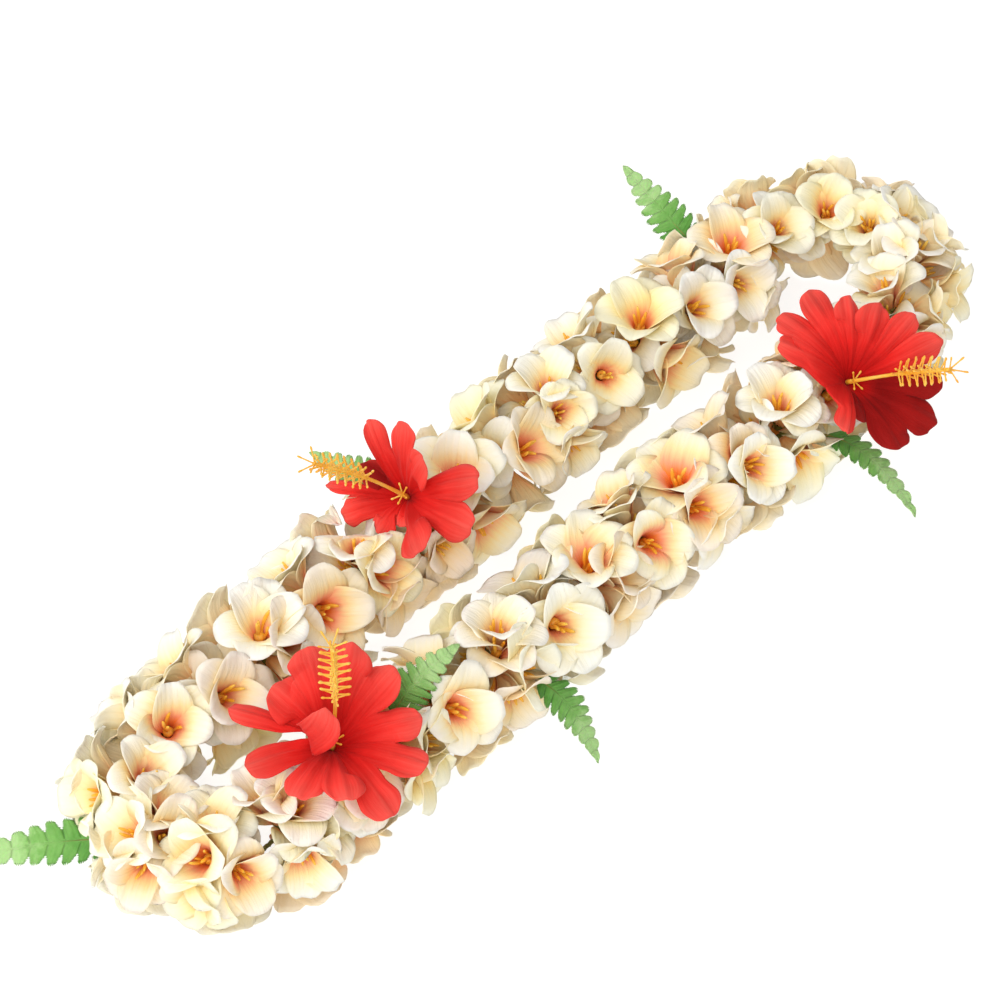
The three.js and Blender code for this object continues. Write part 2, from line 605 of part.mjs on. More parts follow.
// A fern leaf: a thin arched blade on a narrow stem, its edge cut into rounded lobes
function fernSolid({ station, bend, tip, face, stem }, grow) {
  const hub = stations[wrap(station)].centre;
  const start = along(hub, vector(bend).sub(hub).normalize(), FERN_START);
  const spineAt = (s) => {
    const point = start.clone().multiplyScalar((1 - s) ** 2);
    return point.addScaledVector(vector(bend), 2 * s * (1 - s)).addScaledVector(vector(tip), s * s);
  };
  const rowAt = (s, halfWidth, sweep) => {
    const ahead = spineAt(s + 0.01).sub(spineAt(s - 0.01)).normalize();
    const side = vector(face).cross(ahead).normalize();
    const normal = ahead.clone().cross(side);
    const edge = (sign) => {
      const beside = along(along(spineAt(s), side, sign * (halfWidth + grow)), ahead, sweep);
      return along(beside, normal, -FERN_DROOP * halfWidth);
    };
    return [edge(1), spineAt(s), edge(-1)];
  };
  // the room cut for a leaf follows its lobes' tips, not the clefts between
  const cleft = grow ? 1 : FERN_VALLEY_WIDTH;
  const grid = [rowAt(0, FERN_STEM_HALF_WIDTH, 0), rowAt(stem * FERN_NECK, FERN_STEM_HALF_WIDTH, 0)];
  for (let lobe = 0; lobe < FERN_LOBES; lobe++) {
    const [valley, peak] = [lobe / FERN_LOBES, (lobe + FERN_PEAK) / FERN_LOBES];
    const valleyWidth = lobe ? fernWidthAt(valley) * cleft : FERN_STEM_HALF_WIDTH;
    grid.push(rowAt(mix(stem, 1, valley), valleyWidth, -grow));
    grid.push(rowAt(mix(stem, 1, peak), fernWidthAt(peak), FERN_SWEEP));
  }
  grid.push(rowAt(1 + grow / 60, FERN_TIP_HALF_WIDTH, 0));
  return solidOf(bladeOf(grid, FERN_THICKNESS + 2 * grow));
}

const petalMaterial = new THREE.MeshStandardMaterial({ color: "#efe4c4", roughness: 0.85, metalness: 0 });
const stringMaterial = new THREE.MeshStandardMaterial({ color: "#8c8f5a", roughness: 0.8, metalness: 0 });
const redMaterial = new THREE.MeshStandardMaterial({ color: "#d4161c", roughness: 0.8, metalness: 0 });
const pistilMaterial = new THREE.MeshStandardMaterial({ color: "#f2a01c", roughness: 0.45, metalness: 0 });
const fernMaterial = new THREE.MeshStandardMaterial({ color: "#3f9a34", roughness: 0.8, metalness: 0 });

const lei = new THREE.Group();
lei.position.set(...CENTRING);
const solids = [];
const keep = (name, solid, material) => solids.push({ name, solid, material });

// A hub and the gap round it, cut out of what is seated on it
const seatOn = (station) => squareBar(wrap(station), HUB_HALF_WIDTH + SEAT_GAP, HUB_LENGTH + 2 * SEAT_GAP);

for (const flower of hibiscusFlowers) {
  const petals = hibiscusSheet(flower, 0, LOBE_THICKNESS / 2, LOBE_THICKNESS / 2, false);
  const bloom = petals.add(hibiscusStem(flower, 0)).subtract(seatOn(flower.station));
  keep(`hibiscus_${flower.name}`, largestBody(bloom), redMaterial);
  keep(`pistil_${flower.name}`, pistilSolid(flower), pistilMaterial);
}
for (const leaf of fernLeaves) {
  const blade = fernSolid(leaf, 0).subtract(seatOn(leaf.station));
  keep(`fern_${leaf.name}`, largestBody(blade), fernMaterial);
}

// The room that the hibiscus and the leaves need among the blossoms
const cutters = [];
const cutsNear = (point, reach, solid) => cutters.push({ point, reach, solid });
for (const flower of hibiscusFlowers) {
  const below = LOBE_THICKNESS / 2 + HIBISCUS_CLEARANCE;
  const room = hibiscusSheet(flower, HIBISCUS_MARGIN, below, HIBISCUS_HEADROOM, true);
  cutsNear(vector(flower.throat), HIBISCUS_REACH, room.add(hibiscusStem(flower, HIBISCUS_CLEARANCE)));
}
for (const leaf of fernLeaves) cutsNear(vector(leaf.bend), FERN_REACH, fernSolid(leaf, FERN_CLEARANCE));

// What would reach below the plane that the lei lies on is cut off flat
const ground = solidOf(new THREE.BoxGeometry(900, 500, 100).translate(0, 0, -50));
for (let k = 0; k < CLUSTERS; k++) {
  const blossoms = blossomsOf(k);
  const flower = hibiscusFlowers.find(({ station }) => wrap(station) === k);
  if (flower) {
    const towards = vector(flower.throat).sub(stations[k].centre).normalize();
    blossoms.sort((a, b) => a.axis.dot(towards) - b.axis.dot(towards)).pop();
  }
  const near = cutters.filter(({ point, reach }) => point.distanceTo(stations[k].centre) < reach);
  let cluster = squareBar(k, HUB_HALF_WIDTH, HUB_LENGTH);
  for (const blossom of blossoms) {
    const shell = blossomSolid(k, blossom);
    const left = near.reduce((rest, { solid }) => rest.subtract(solid), shell);
    if (left.volume() > LEAST_LEFT * shell.volume()) cluster = cluster.add(shell);
  }
  cluster = cluster.subtract(squareBar(k, BORE_HALF_WIDTH, HUB_LENGTH + BORE_EXTRA)).subtract(ground);
  for (const { solid } of near) {
    const cut = cluster.subtract(solid);
    if (cut.volume() < cluster.volume() - LEAST_VOLUME) cluster = cut;
  }
  keep(`blossoms_${String(k + 1).padStart(2, "0")}`, largestBody(cluster), petalMaterial);
}
keep("string", stringSolid(), stringMaterial);

for (const { name, solid, material } of solids) lei.add(meshOf(name, solid, material));

export default lei;
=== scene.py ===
import json
import math
import random

import bpy
import numpy as np
from mathutils import Matrix, Vector

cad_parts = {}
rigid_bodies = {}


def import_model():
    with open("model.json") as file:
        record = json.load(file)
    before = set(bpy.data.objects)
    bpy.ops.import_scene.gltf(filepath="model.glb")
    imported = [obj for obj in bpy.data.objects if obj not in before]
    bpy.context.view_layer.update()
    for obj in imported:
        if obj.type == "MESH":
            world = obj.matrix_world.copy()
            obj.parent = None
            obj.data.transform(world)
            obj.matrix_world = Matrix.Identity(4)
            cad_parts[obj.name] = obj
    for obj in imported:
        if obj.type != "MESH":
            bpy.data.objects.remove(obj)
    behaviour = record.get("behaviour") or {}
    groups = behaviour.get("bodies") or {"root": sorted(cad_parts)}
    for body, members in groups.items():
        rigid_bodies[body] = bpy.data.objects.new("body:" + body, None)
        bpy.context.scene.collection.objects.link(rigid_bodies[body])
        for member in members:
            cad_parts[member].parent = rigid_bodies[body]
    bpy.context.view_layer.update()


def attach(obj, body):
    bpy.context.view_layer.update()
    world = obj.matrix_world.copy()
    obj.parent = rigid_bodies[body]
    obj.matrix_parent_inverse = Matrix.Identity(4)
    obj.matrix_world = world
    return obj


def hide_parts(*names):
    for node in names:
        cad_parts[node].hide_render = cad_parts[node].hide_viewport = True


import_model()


# The string: one thin olive cord of three twisted strands, closed into a loop. Everything else is threaded
# on it or tied to it. It turns a corner between two clusters and runs straight through each hub.
MM = 0.001
MIDDLE = np.array([11.8, -1.5, 0.0])  # of the string's loop, from the middle of the whole lei
NEAR_RADIUS = 38.0  # the bend at -X
FAR_RADIUS = 43.0  # the bend at +X
BEND_SPACING = 414.0
STRING_HEIGHT = 32.5
WAVE = 2.0  # the strands wander sideways by this much
WAVES = 6
WAVE_START = 0.42
CLUSTERS = 34
FIRST_CLUSTER = -0.276  # of the spacing, from the middle of the -Y strand
UP = np.array([0.0, 0.0, 1.0])
CORD_RADIUS = 1.25
CORD_GROOVE = 0.78  # the radius between two strands, as a share
CORD_STEP = 1.2
STRANDS = 3
STRAND_PITCH = 9.0  # of one whole turn of the strands

side_tilt = math.asin((FAR_RADIUS - NEAR_RADIUS) / BEND_SPACING)
side_length = BEND_SPACING * math.cos(side_tilt)
far_arc = FAR_RADIUS * (math.pi + 2 * side_tilt)
near_arc = NEAR_RADIUS * (math.pi - 2 * side_tilt)
loop_length = 2 * side_length + far_arc + near_arc


def mix(low, high, share):
    return low + (high - low) * share


def unit(vector):
    return vector / np.linalg.norm(vector)


def on_bend(centre, radius, angle):
    return np.array([centre + radius * math.cos(angle), radius * math.sin(angle), STRING_HEIGHT])


def loop_point(share):
    """A point on the string, by the share of its length from the middle of the -Y strand"""
    run = ((share % 1) * loop_length + side_length / 2) % loop_length
    near, far = -BEND_SPACING / 2, BEND_SPACING / 2
    lower, upper = -math.pi / 2 - side_tilt, math.pi / 2 + side_tilt
    if run < side_length:
        outward = lower
        ends = on_bend(near, NEAR_RADIUS, lower), on_bend(far, FAR_RADIUS, lower)
        point = mix(*ends, run / side_length)
    elif run < side_length + far_arc:
        outward = lower + (run - side_length) / FAR_RADIUS
        point = on_bend(far, FAR_RADIUS, outward)
    elif run < 2 * side_length + far_arc:
        outward = upper
        ends = on_bend(far, FAR_RADIUS, upper), on_bend(near, NEAR_RADIUS, upper)
        point = mix(*ends, (run - side_length - far_arc) / side_length)
    else:
        outward = upper + (run - 2 * side_length - far_arc) / NEAR_RADIUS
        point = on_bend(near, NEAR_RADIUS, outward)
    wave = WAVE * math.sin(2 * math.pi * (WAVES * share - WAVE_START))
    return point + wave * np.array([math.cos(outward), math.sin(outward), 0])


corners = [loop_point((k + FIRST_CLUSTER - 0.5) / CLUSTERS) for k in range(CLUSTERS)]
stations = []
for start, end in zip(corners, corners[1:] + corners[:1]):
    tangent = unit(end - start)
    station = {"start": start, "end": end, "tangent": tangent, "centre": (start + end) / 2}
    stations.append(station | {"outward": np.cross(tangent, UP)})


def object_of(name, points, faces, marks=None, edges=()):
    """A mesh object from points in mm and faces, with its own numbers for each point"""
    mesh = bpy.data.meshes.new(name)
    mesh.from_pydata([tuple(p) for p in (np.asarray(points) + MIDDLE) * MM], list(edges), faces)
    mesh.shade_smooth()
    for mark, values in (marks or {}).items():
        attribute = mesh.attributes.new(mark, "FLOAT", "POINT")
        attribute.data.foreach_set("value", np.asarray(values, np.float32))
    made = bpy.data.objects.new(name, mesh)
    bpy.context.scene.collection.objects.link(made)
    return made


def add(tree, kind, values=None, output=0, **settings):
    """The output of a new node, whose sockets are set to values, or linked where those are outputs"""
    node = tree.nodes.new(kind)
    for name, value in settings.items():
        setattr(node, name, value)
    for socket, value in (values or {}).items():
        if isinstance(value, bpy.types.NodeSocket):
            tree.links.new(value, node.inputs[socket])
        else:
            node.inputs[socket].default_value = value
    return node.outputs[output]


def maths(tree, operation, *values):
    return add(tree, "ShaderNodeMath", dict(enumerate(values)), operation=operation)


def tree_with(name, sizes):
    """An empty Geometry Nodes tree, and what its named inputs give"""
    tree = bpy.data.node_groups.new(name, "GeometryNodeTree")
    for label, kind in {"Geometry": "Geometry", **sizes}.items():
        tree.interface.new_socket(label, in_out="INPUT", socket_type=f"NodeSocket{kind}")
    tree.interface.new_socket("Geometry", in_out="OUTPUT", socket_type="NodeSocketGeometry")
    return tree, tree.nodes.new("NodeGroupInput").outputs


def end_tree(tree, geometry, finish):
    dressed = add(tree, "GeometryNodeSetMaterial", {"Geometry": geometry, "Material": finish})
    tree.links.new(dressed, tree.nodes.new("NodeGroupOutput").inputs["Geometry"])


def grown(piece, tree, values):
    """Runs a tree on a piece and keeps the result as its plain mesh"""
    modifier = piece.modifiers.new("grown", "NODES")
    modifier.node_group = tree
    for item in tree.interface.items_tree:
        if item.in_out == "INPUT" and item.name in values:
            modifier[item.identifier] = values[item.name]
    piece.update_tag()
    depsgraph = bpy.context.evaluated_depsgraph_get()
    depsgraph.update()
    mesh = bpy.data.meshes.new_from_object(
        piece.evaluated_get(depsgraph), preserve_all_data_layers=True, depsgraph=depsgraph
    )
    piece.modifiers.clear()
    piece.data = mesh


def colour(code):
    """A colour written as rrggbb, as shaders take it"""
    channels = [int(code[n : n + 2], 16) / 255 for n in (0, 2, 4)]
    linear = [c / 12.92 if c <= 0.04045 else ((c + 0.055) / 1.055) ** 2.4 for c in channels]
    return (*linear, 1.0)


def finish_of(name, roughness, **settings):
    """A material with its shader's fixed values, and its node tree"""
    material = bpy.data.materials.new(name)
    material.use_nodes = True
    shader = material.node_tree.nodes["Principled BSDF"]
    shader.inputs["Roughness"].default_value = roughness
    for socket, value in settings.items():
        shader.inputs[socket.replace("_", " ")].default_value = value
    return material, material.node_tree


def linked(tree, socket, value):
    tree.links.new(value, tree.nodes["Principled BSDF"].inputs[socket])


def on_object(tree):
    return add(tree, "ShaderNodeTexCoord", output="Object")


def noise(tree, place, scale, detail, **more):
    return add(tree, "ShaderNodeTexNoise", {"Vector": place, "Scale": scale, "Detail": detail, **more})


def ramp(tree, factor, stops):
    """A colour that changes along factor, by stops of {place: rrggbb}"""
    made = add(tree, "ShaderNodeValToRGB", {"Fac": factor})
    elements = made.node.color_ramp.elements
    (low, low_code), *between, (high, high_code) = stops.items()
    elements[0].position, elements[0].color = low, colour(low_code)
    elements[1].position, elements[1].color = high, colour(high_code)
    for place, code in between:
        elements.new(place).color = colour(code)
    return made


def bumped(tree, height, strength, depth_mm):
    sizes = {"Height": height, "Strength": strength, "Distance": depth_mm * MM}
    linked(tree, "Normal", add(tree, "ShaderNodeBump", sizes))


def speckled(name, roughness, stops, scale, bump, detail=3, grain=None, **settings):
    """A finish whose colour changes in small patches, with a relief of those or of a finer grain"""
    material, tree = finish_of(name, roughness, **settings)
    place = on_object(tree)
    patches = noise(tree, place, scale, detail)
    linked(tree, "Base Color", ramp(tree, patches, stops))
    bumped(tree, noise(tree, place, grain, detail) if grain else patches, *bump)
    return material


olive = {0.3: "5f6a35", 0.7: "97975a"}
cord_finish = speckled("string_finish", 0.8, olive, 900, (0.5, 0.2), Sheen_Weight=0.2)
cord_tree, given = tree_with(
    "twisted cord", {"Radius": "Float", "Twist": "Float", "Step": "Float", "Finish": "Material"}
)
line = add(cord_tree, "GeometryNodeMeshToCurve", {"Mesh": given["Geometry"]})
line = add(cord_tree, "GeometryNodeResampleCurve", {"Curve": line, "Length": given["Step"]}, mode="LENGTH")
twist = maths(cord_tree, "MULTIPLY", add(cord_tree, "GeometryNodeSplineParameter"), given["Twist"])
line = add(cord_tree, "GeometryNodeSetCurveTilt", {"Curve": line, "Tilt": twist})
groove = maths(cord_tree, "MULTIPLY", given["Radius"], CORD_GROOVE)
star = {"Points": STRANDS, "Inner Radius": groove, "Outer Radius": given["Radius"]}
section = add(cord_tree, "GeometryNodeCurveStar", star)
section = add(cord_tree, "GeometryNodeSubdivideCurve", {"Curve": section, "Cuts": 1})
body = add(cord_tree, "GeometryNodeCurveToMesh", {"Curve": line, "Profile Curve": section})
body = add(cord_tree, "GeometryNodeSetShadeSmooth", {"Geometry": body})
end_tree(cord_tree, body, given["Finish"])

string = object_of("string_cord", corners, [], edges=[(k, (k + 1) % CLUSTERS) for k in range(CLUSTERS)])
# a whole number of thirds of a turn, so that the strands meet themselves round the loop
all_turns = 2 * math.pi / STRANDS * round(STRANDS * loop_length / STRAND_PITCH)
cord = {"Radius": CORD_RADIUS * MM, "Twist": all_turns, "Step": CORD_STEP * MM, "Finish": cord_finish}
grown(string, cord_tree, cord)
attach(string, "root")
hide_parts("string")


# The hibiscus petals: one die-cut sheet of red silk for each flower, twelve rounded lobes, two to a petal.
# Pressed veins and soft folds run out from the throat. Each lobe is [angle round the flower, rise, length,
# half width, where along it the slit to the next one starts]; a folded one leaves low and turns.
LOBE_THICKNESS = 0.5
ROWS_IN_SHEET = 10  # from the throat to the clefts
ROWS_IN_LOBE = 12
LOBE_COLUMNS = 17
LOBE_START = 1.2  # from the flower's axis
KNEE_RISE = 0.32  # a lobe leaves the throat so much steeper than it ends, of the way to upright
KNEE_LENGTH = 0.46  # a share of the lobe's length
LOBE_WAIST = 0.74  # of a lobe's width, where its slits start
SHORT_LOBE = 10.0  # from its slits on; one as short as this has no waist
WAIST_GROWTH = 8.0  # and one so much longer has the whole of it
ROUND_LEAST, ROUND_MOST = 0.3, 0.7  # where a lobe's round end starts
FOLD_DEPTH, FOLD_WIDTH = 1.8, 0.3  # between two petals
FINE_PLEATS, LOBE_PLEAT, LOBE_RIPPLE = 0.1, 0.4, 0.5
EDGE_DROOP = 1.3
hibiscus_flowers = {
    "near": {
        "station": -5,
        "throat": [-168, -36, 60],
        "axis": [0.05, 0, 1],
        "lobes": [
            [-157, 20, 41, 9.2, 0.52], [-124, 22, 41, 9.8, 0.56], [-100, 5, 46, 9.5, 0.6],
            [-66, 12, 45, 10, 0.7], [-37, 21, 42, 9.8, 0.6], [0, 30, 44, 10.5, 0.8],
            [32, 38, 46, 10.5, 0.8], [64, 40, 45, 10.5, 0.86], [96, 27, 38, 12, 0.5],
            [118, 11, 48, 5.5, 0.36], [140, 78, 40, 10, 0.3], [159, 12, 41, 8.4, 0.44],
        ],
        "folded": {10: (20, 68)},  # the angle at which it leaves the throat, and how far it turns
        "deep": [],  # the lobes darkened with painted shade, for the shade they hang in
    },
    "middle": {
        "station": 19,
        "throat": [-48, 38, 61],
        "axis": [-0.63, 0.16, 0.76],
        "lobes": [
            [-145, 12, 15, 6, 0.7], [-115, 28, 44, 9.2, 0.48], [-86, 5, 44, 9.8, 0.52],
            [-55, 6, 43, 9.6, 0.42], [-30, 40, 32, 9.5, 0.7], [8, 37, 40, 7.5, 0.55],
            [47, 30, 41, 4.8, 0.4], [84, 24, 27, 7, 0.4], [109, 12, 43, 3.4, 0.4],
            [128, 6, 36, 7.5, 0.66], [166, 8, 22, 8, 0.6], [190, 8, 14, 6, 0.7],
        ],
        "folded": {},
        "deep": [7],
    },
    "far": {
        "station": 5,
        "throat": [152, -58, 53],
        "axis": [0.05, -0.73, 0.68],
        "lobes": [
            [-160, 30, 36, 4.8, 0.5], [-130, 32, 24, 7, 0.6], [-106, 35, 43, 10, 0.84],
            [-72, 40, 47, 10, 0.66], [-38, 46, 46, 8.5, 0.55], [-3, 44, 49, 8, 0.5],
            [21, 36, 46, 9, 0.5], [45, 24, 41, 9.5, 0.62], [65, 12, 42, 8, 0.72],
            [80, -4, 48, 9.5, 0.66], [100, -13, 46, 7.5, 0.84], [114, -18, 39, 7.5, 0.5],
        ],
        "folded": {},
        "deep": [1, 2, 3, 4],
    },
}


def eased(value, low=0.0, high=1.0):
    share = np.clip((np.asarray(value, float) - low) / (high - low), 0, 1)
    return share * share * (3 - 2 * share)


def rounded(a, b, start):
    """Makes a grid, a from 0 to 1 along and b from -1 to 1 across, a blade that is round from start on"""
    end = np.maximum(0, (a - start) / (1 - start))
    along = np.minimum(a, start) + (1 - start) * end * np.sqrt(1 - b * b / 2)
    return along, b * np.sqrt(1 - end * end / 2)


def grid_faces(rows, columns, first=0):
    """The quads of a grid of points, each seen counter-clockwise with columns to the left"""
    faces = []
    for row in range(rows - 1):
        for column in range(columns - 1):
            corner = first + row * columns + column
            faces.append((corner, corner + columns, corner + columns + 1, corner + 1))
    return faces


def joined(points, faces, marks):
    """Merges points that lie in the same place, and drops faces that have no area left"""
    keys = np.round(points / 1e-4).astype(np.int64)
    _, keep, where = np.unique(keys, axis=0, return_index=True, return_inverse=True)
    where = where.ravel()
    merged = [tuple(dict.fromkeys(int(where[v]) for v in face)) for face in faces]
    merged = [face for face in merged if len(face) > 2]
    return points[keep], merged, {mark: values[keep] for mark, values in marks.items()}


def normals_of(points, faces):
    normals = np.zeros_like(points)
    for face in faces:
        a, b, c, d = (points[face[n]] for n in (0, 1, 2, -1))
        normal = np.cross(c - a, d - b) if len(face) == 4 else np.cross(b - a, c - a)
        for v in face:
            normals[v] += normal
    return normals / np.maximum(np.linalg.norm(normals, axis=1, keepdims=True), 1e-9)


def closed_sheet(name, points, faces, thickness, marks):
    """A thin closed body from an open sheet, each face half the thickness off and a rim round the edge"""
    normals = normals_of(points, faces)
    count = len(points)
    edges_of = {(face[n], face[(n + 1) % len(face)]) for face in faces for n in range(len(face))}
    rim = sorted((b, a, a + count, b + count) for a, b in edges_of if (b, a) not in edges_of)
    under = [tuple(v + count for v in reversed(face)) for face in faces]
    both = np.vstack([points + normals * thickness / 2, points - normals * thickness / 2])
    marks = {mark: np.tile(values, 2) for mark, values in marks.items()}
    marks["outside"] = np.repeat([0.0, 1.0], count)
    made = object_of(name, both, list(faces) + under + rim, marks)
    smooth = np.ones(len(made.data.polygons), bool)
    smooth[-len(rim) :] = False
    made.data.polygons.foreach_set("use_smooth", smooth)
    return made


def flower_frame(flower):
    """A hibiscus's centre, its axis, and two directions across it with the first turned towards +X"""
    up = unit(np.array(flower["axis"], float))
    first = unit(np.array([1.0, 0, 0]) - up[0] * up)
    return np.array(flower["throat"], float), up, first, np.cross(up, first)


def profile_of(rise, length, share, knee=None):
    """How far out and how high a lobe's midline is: steeply out of the throat, then arching over"""
    knee = np.radians(mix(rise, 90, KNEE_RISE) if knee is None else knee)
    lean = np.radians(rise)
    early, late = 2 * share * (1 - share) * KNEE_LENGTH * length, share**2 * length
    out = (1 - share) ** 2 * LOBE_START + early * np.cos(knee) + late * np.cos(lean)
    return out, early * np.sin(knee) + late * np.sin(lean)


def around(flower, angle, out, high, beside):
    """The points that lie so far out and up in the directions of the angles, and so far beside those"""
    centre, up, first, second = flower_frame(flower)
    angle = np.radians(angle)[..., None]
    away = np.cos(angle) * first + np.sin(angle) * second
    aside = np.cos(angle) * second - np.sin(angle) * first
    return centre + out[..., None] * away + high[..., None] * up + beside[..., None] * aside


def sheet_point(flower, i, side, share):
    """Points of the whole sheet, from lobe i half-way to the next one (side 1) or the one before (-1)"""
    lobes = np.array([lobe[:3] for lobe in flower["lobes"]], float)
    there = lobes[(i + np.sign(side).astype(int)) % len(lobes)]
    here, part = lobes[i], np.abs(side) / 2
    turn = (there[..., 0] - here[0] + 180) % 360 - 180
    rise, length = mix(here[1], there[..., 1], part), mix(here[2], there[..., 2], part)
    return around(flower, here[0] + part * turn, *profile_of(rise, length, share), 0 * part)


def lobe_point(flower, i, beside, share):
    """Points of lobe i where it is free, by how far they are beside its midline"""
    angle, rise, length = flower["lobes"][i][:3]
    knee, swing = flower["folded"].get(i, (None, 0))
    angle = angle + swing * eased(share, 0.3, 1)
    return around(flower, angle, *profile_of(rise, length, share, knee), beside)


def hibiscus_sheet(name, flower, seed):
    vary = random.Random(seed)
    lobes, up = flower["lobes"], flower_frame(flower)[1]
    across = np.linspace(-1, 1, LOBE_COLUMNS)
    rows = ROWS_IN_SHEET + ROWS_IN_LOBE
    points, faces = [], []
    marks = {"along": [], "across": [], "petal": [], "deep": []}
    for i, (_, _, length, half, slit) in enumerate(lobes):
        cleft = mix(lobes[i - 1][4], slit, eased(across, -1, 1))
        near_fold = (1 - across if i % 2 else 1 + across) / FOLD_WIDTH
        sway, twist, phase = vary.uniform(-1.2, 1.2), vary.uniform(-1.5, 1.5), vary.uniform(0, 6)
        free_length = length * (1 - (lobes[i - 1][4] + slit) / 2)
        round_from = min(max(ROUND_LEAST, 1 - half / free_length), ROUND_MOST)
        waist = 1
        if i not in flower["folded"]:
            waist = mix(1, LOBE_WAIST, min(max(0, (free_length - SHORT_LOBE) / WAIST_GROWTH), 1))
        # painted shade on the listed lobes, blending into their neighbours and fading in out of the throat
        deep = [float((i + step) % len(lobes) in flower["deep"]) for step in (-1, 0, 1)]
        deep = np.interp(across, [-1.6, -0.6, 0.6, 1.6], [deep[0], deep[1], deep[1], deep[2]])
        for row in range(rows):
            x, y = rounded(max(0, row - ROWS_IN_SHEET + 1) / ROWS_IN_LOBE, across, round_from)
            share = cleft * min(1, row / (ROWS_IN_SHEET - 1)) if row < ROWS_IN_SHEET else mix(cleft, 1, x)
            free = eased(x, 0, 0.3)
            beside = y * half * mix(waist, 1, eased(x, 0.1, 0.7))
            bound, loose = sheet_point(flower, i, y, share), lobe_point(flower, i, beside, share)
            place = mix(bound, loose, free[:, None])
            opened, edge = eased(share, 0.1, 0.45), np.abs(y)
            relief = FINE_PLEATS * opened * np.cos(5 * math.pi * across)
            relief = relief - FOLD_DEPTH * opened * np.exp(-near_fold**2)
            pleat = LOBE_PLEAT * opened * np.cos(2 * math.pi * across)
            relief += pleat - EDGE_DROOP * eased(share, 0.4, 1) * edge**2.4
            ripple = LOBE_RIPPLE * np.sin(2.6 * math.pi * y + phase)
            relief += free * (sway * y + twist * x * (1 - edge) + ripple)
            points.append(place + relief[:, None] * up)
            marks["along"].append(share)
            marks["across"].append(across * np.minimum(share * 1.6, 1))
            marks["petal"].append(np.full(LOBE_COLUMNS, i + 0.5))
            marks["deep"].append(deep * eased(share, 0.1, 0.4))
        faces += grid_faces(rows, LOBE_COLUMNS, i * rows * LOBE_COLUMNS)
    marks = {mark: np.concatenate(values) for mark, values in marks.items()}
    points, faces, marks = joined(np.vstack(points), faces, marks)
    centre, _, first, second = flower_frame(flower)
    ring = [v for v in range(len(points)) if marks["along"][v] == 0]
    ring.sort(key=lambda v: math.atan2((points[v] - centre) @ second, (points[v] - centre) @ first))
    marks = {mark: np.append(values, 0) for mark, values in marks.items()}
    faces += [(len(points), ring[n], ring[(n + 1) % len(ring)]) for n in range(len(ring))]
    return closed_sheet(name, np.vstack([points, centre]), faces, LOBE_THICKNESS, marks)


def marks_of(tree, *names):
    return [add(tree, "ShaderNodeAttribute", output="Fac", attribute_name=name) for name in names]


def streaked(tree, across, along, place, stretch, scale, detail):
    """Streaks that run along the petals"""
    vein = add(tree, "ShaderNodeCombineXYZ", {"X": across, "Y": along, "Z": place})
    vein = add(tree, "ShaderNodeVectorMath", {0: vein, 1: stretch}, operation="MULTIPLY")
    return noise(tree, vein, scale, detail)


def tinted(tree, base, tint):
    colours = {"Fac": 1.0, "Color1": base, "Color2": tint}
    return add(tree, "ShaderNodeMixRGB", colours, blend_type="MULTIPLY")


red_finish, red_tree = finish_of(
    "red_silk", 0.75, Sheen_Weight=0.04, Sheen_Roughness=0.5, Specular_IOR_Level=0.12,
    Subsurface_Weight=0.12, Subsurface_Radius=(1.0, 0.15, 0.1), Subsurface_Scale=0.003,
)
along, across, petal, deep = marks_of(red_tree, "along", "across", "petal", "deep")
place = on_object(red_tree)
streaks = streaked(red_tree, across, along, petal, (7, 1.1, 3.7), 1.0, 4)
# painted shade and highlight: the red darkens into the throat and lightens towards the lobes' ends
depth = maths(red_tree, "ADD", maths(red_tree, "MULTIPLY_ADD", streaks, 0.44, -0.22), along)
red = ramp(red_tree, depth, {0.0: "a00505", 0.22: "c80c0a", 0.5: "df221d", 0.78: "f23f37", 1.1: "fb5a50"})
# painted shade on the listed lobes: their red is multiplied towards a dull crimson
red = tinted(red_tree, red, ramp(red_tree, deep, {0.0: "ffffff", 1.0: "a05658"}))
red = tinted(red_tree, red, ramp(red_tree, noise(red_tree, place, 60, 2), {0.3: "e6e6e6", 0.7: "ffffff"}))
linked(red_tree, "Base Color", red)
thread = {"Vector": place, "Scale": 420, "Distortion": 1.5}
threads = (add(red_tree, "ShaderNodeTexWave", thread, "Fac", bands_direction=way) for way in "XY")
weave = maths(red_tree, "MULTIPLY", *threads)
bumped(red_tree, maths(red_tree, "MULTIPLY_ADD", weave, 0.12, streaks), 0.5, 0.6)

for seed, (name, flower) in enumerate(hibiscus_flowers.items()):
    petals = hibiscus_sheet(f"hibiscus_petals_{name}", flower, seed)
    petals.data.materials.append(red_finish)
    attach(petals, "root")
    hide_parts(f"hibiscus_{name}")


# The hibiscus calyxes and stems: a green plastic cup of five points under each red sheet, on a short stem
# that is tied to the string.
STEM_FOOT = 0.12  # the share of the way from the string to the throat
STEM_RADIUS = 1.7
STEM_CUP_RADII = 2.2, 3.1, 3.6
STEM_CUP_DEPTHS = 7, 4, 0.6  # below the throat
SEPALS = 5
SEPAL_DEPTH = 6.0  # its root is so far below the throat
SEPAL_LINE = (0, 2.2), (2.5, 3.6), (5, 5.4), (6.6, 8.2), (7.2, 10.5)  # how high and how far out
SEPAL_RADII = 1.2, 1.6, 1.3, 0.8, 0.15


